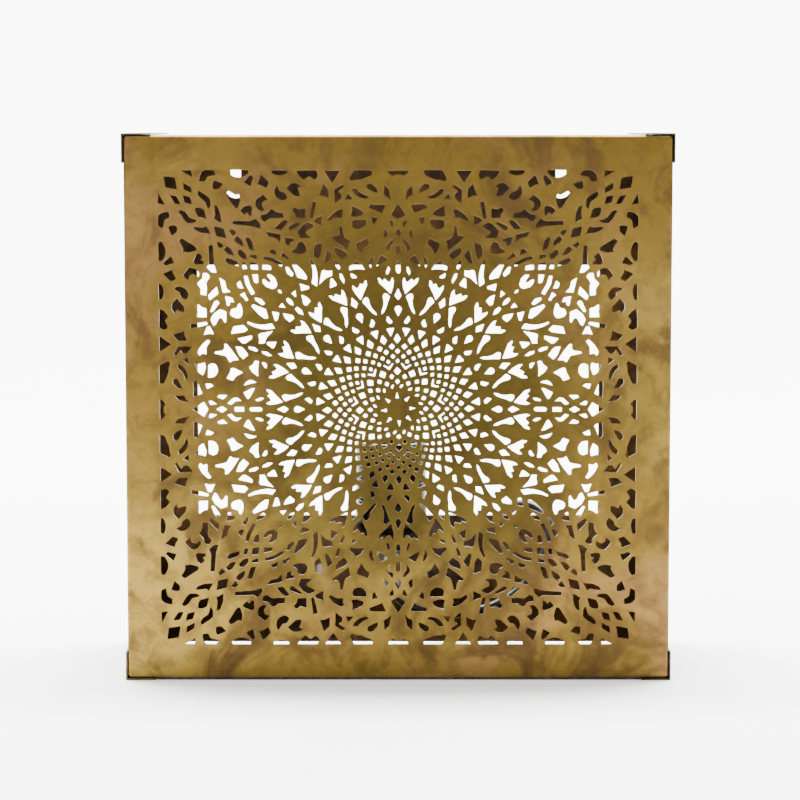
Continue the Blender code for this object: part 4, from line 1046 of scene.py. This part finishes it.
class LIGHT_OT_stage(bpy.types.Operator):
    """Pale sweep, soft studio lights and the camera"""
    bl_idname = "light.stage"
    bl_label = "Stage"

    # (name, place, point that it shines on, (width, height), power)
    lights = (
        ("key_light", (-1.3, -1.9, 1.5), (0, 0, 0.15), (1.4, 1.4), 30),
        ("fill_light", (1.7, -1.6, 0.9), (0, 0, 0.15), (1.2, 1.6), 14),
        ("backdrop_light", (0.0, 0.5, 2.4), (0, 1.6, 0.3), (2.4, 0.8), 520),
        ("overhead_light", (0.0, 0.2, 2.8), (0, 0.2, 0.0), (2.6, 2.6), 105),
    )
    room_tint = (1.0, 0.99, 0.97, 1.0)
    room_light = 0.88

    def sweep(self):
        """Floor that curves up into a backdrop, in one plain sheet."""
        bm = bmesh.new()
        width, front, back, radius, top = 5.0, -3.0, 1.6, 0.6, 3.2
        bend_steps = 16
        line = [(front, 0.0), (back - radius, 0.0)]
        for i in range(1, bend_steps):
            angle = math.pi / 2 * i / bend_steps
            line.append((back - radius + radius * math.sin(angle), radius * (1 - math.cos(angle))))
        line += [(back, radius), (back, top)]
        verts = [bm.verts.new((-width / 2, y, z)) for y, z in line]
        edges = [bm.edges.new(pair) for pair in zip(verts, verts[1:])]
        swept = bmesh.ops.extrude_edge_only(bm, edges=edges)["geom"]
        bmesh.ops.translate(bm, verts=collect(swept, bmesh.types.BMVert), vec=(width, 0, 0))
        bmesh.ops.recalc_face_normals(bm, faces=bm.faces)
        mesh = bpy.data.meshes.new("studio_sweep")
        bm.to_mesh(mesh)
        bm.free()
        mesh.shade_smooth()
        floor = new_object("studio_sweep", mesh)
        material, tree, shader, place = new_material("studio_paper")
        tone = add_range(tree, add_noise(tree, place, 3.0, 2.0), 0.3, 0.7)
        colour = add_mix(tree, tone, (0.93, 0.93, 0.93, 1.0), (0.96, 0.96, 0.96, 1.0))
        tree.links.new(colour, shader.inputs["Base Color"])
        shader.inputs["Roughness"].default_value = 0.9
        mesh.materials.append(material)

    def area_light(self, name, place, aim, size, power):
        data = bpy.data.lights.new(name, "AREA")
        data.shape = "RECTANGLE"
        data.size, data.size_y = size
        data.energy = power
        lamp = new_object(name, data)
        lamp.location = place
        lamp.rotation_euler = (Vector(aim) - Vector(place)).to_track_quat("-Z", "Y").to_euler()

    def execute(self, context):
        self.sweep()
        world = bpy.data.worlds.new("soft_room")
        world.use_nodes = True
        set_inputs(world.node_tree.nodes["Background"], ("Color", self.room_tint),
                   ("Strength", self.room_light))
        context.scene.world = world
        for light in self.lights:
            self.area_light(*light)
        camera_data = bpy.data.cameras.new("camera")
        camera_data.sensor_width = 36.0
        camera_data.lens = CAMERA_LENS
        camera = new_object("camera", camera_data)
        camera.location = CAMERA_PLACE
        camera.rotation_euler = (math.pi / 2 - CAMERA_PITCH, 0.0, 0.0)
        context.scene.camera = camera
        return {"FINISHED"}


class LIGHT_PT_panel(bpy.types.Panel):
    """Every step of the build, in order"""
    bl_label = "Wall Light"
    bl_idname = "LIGHT_PT_panel"
    bl_space_type = "VIEW_3D"
    bl_region_type = "UI"
    bl_category = "Wall Light"

    def draw(self, context):
        for group in (context.scene.light_sizes, context.scene.light_colours):
            box = self.layout.box()
            for name in group.__annotations__:
                box.prop(group, name)
        for step in STEPS:
            self.layout.operator(step.bl_idname)


STEPS = (LIGHT_OT_stage, LIGHT_OT_flex, LIGHT_OT_pierced_face, LIGHT_OT_shell, LIGHT_OT_lampholder,
         LIGHT_OT_fixings, LIGHT_OT_wiring)
CLASSES = (LightSizes, LightColours) + STEPS + (LIGHT_PT_panel,)


def register():
    for cls in CLASSES:
        bpy.utils.register_class(cls)
    bpy.types.Scene.light_sizes = bpy.props.PointerProperty(type=LightSizes)
    bpy.types.Scene.light_colours = bpy.props.PointerProperty(type=LightColours)


def unregister():
    del bpy.types.Scene.light_colours
    del bpy.types.Scene.light_sizes
    for cls in reversed(CLASSES):
        bpy.utils.unregister_class(cls)


def main():
    register()
    bpy.ops.light.stage()
    bpy.ops.light.flex()
    bpy.ops.light.pierced_face()
    bpy.ops.light.shell()
    bpy.ops.light.lampholder()
    bpy.ops.light.fixings()
    bpy.ops.light.wiring()


if __name__ == "__main__":
    main()
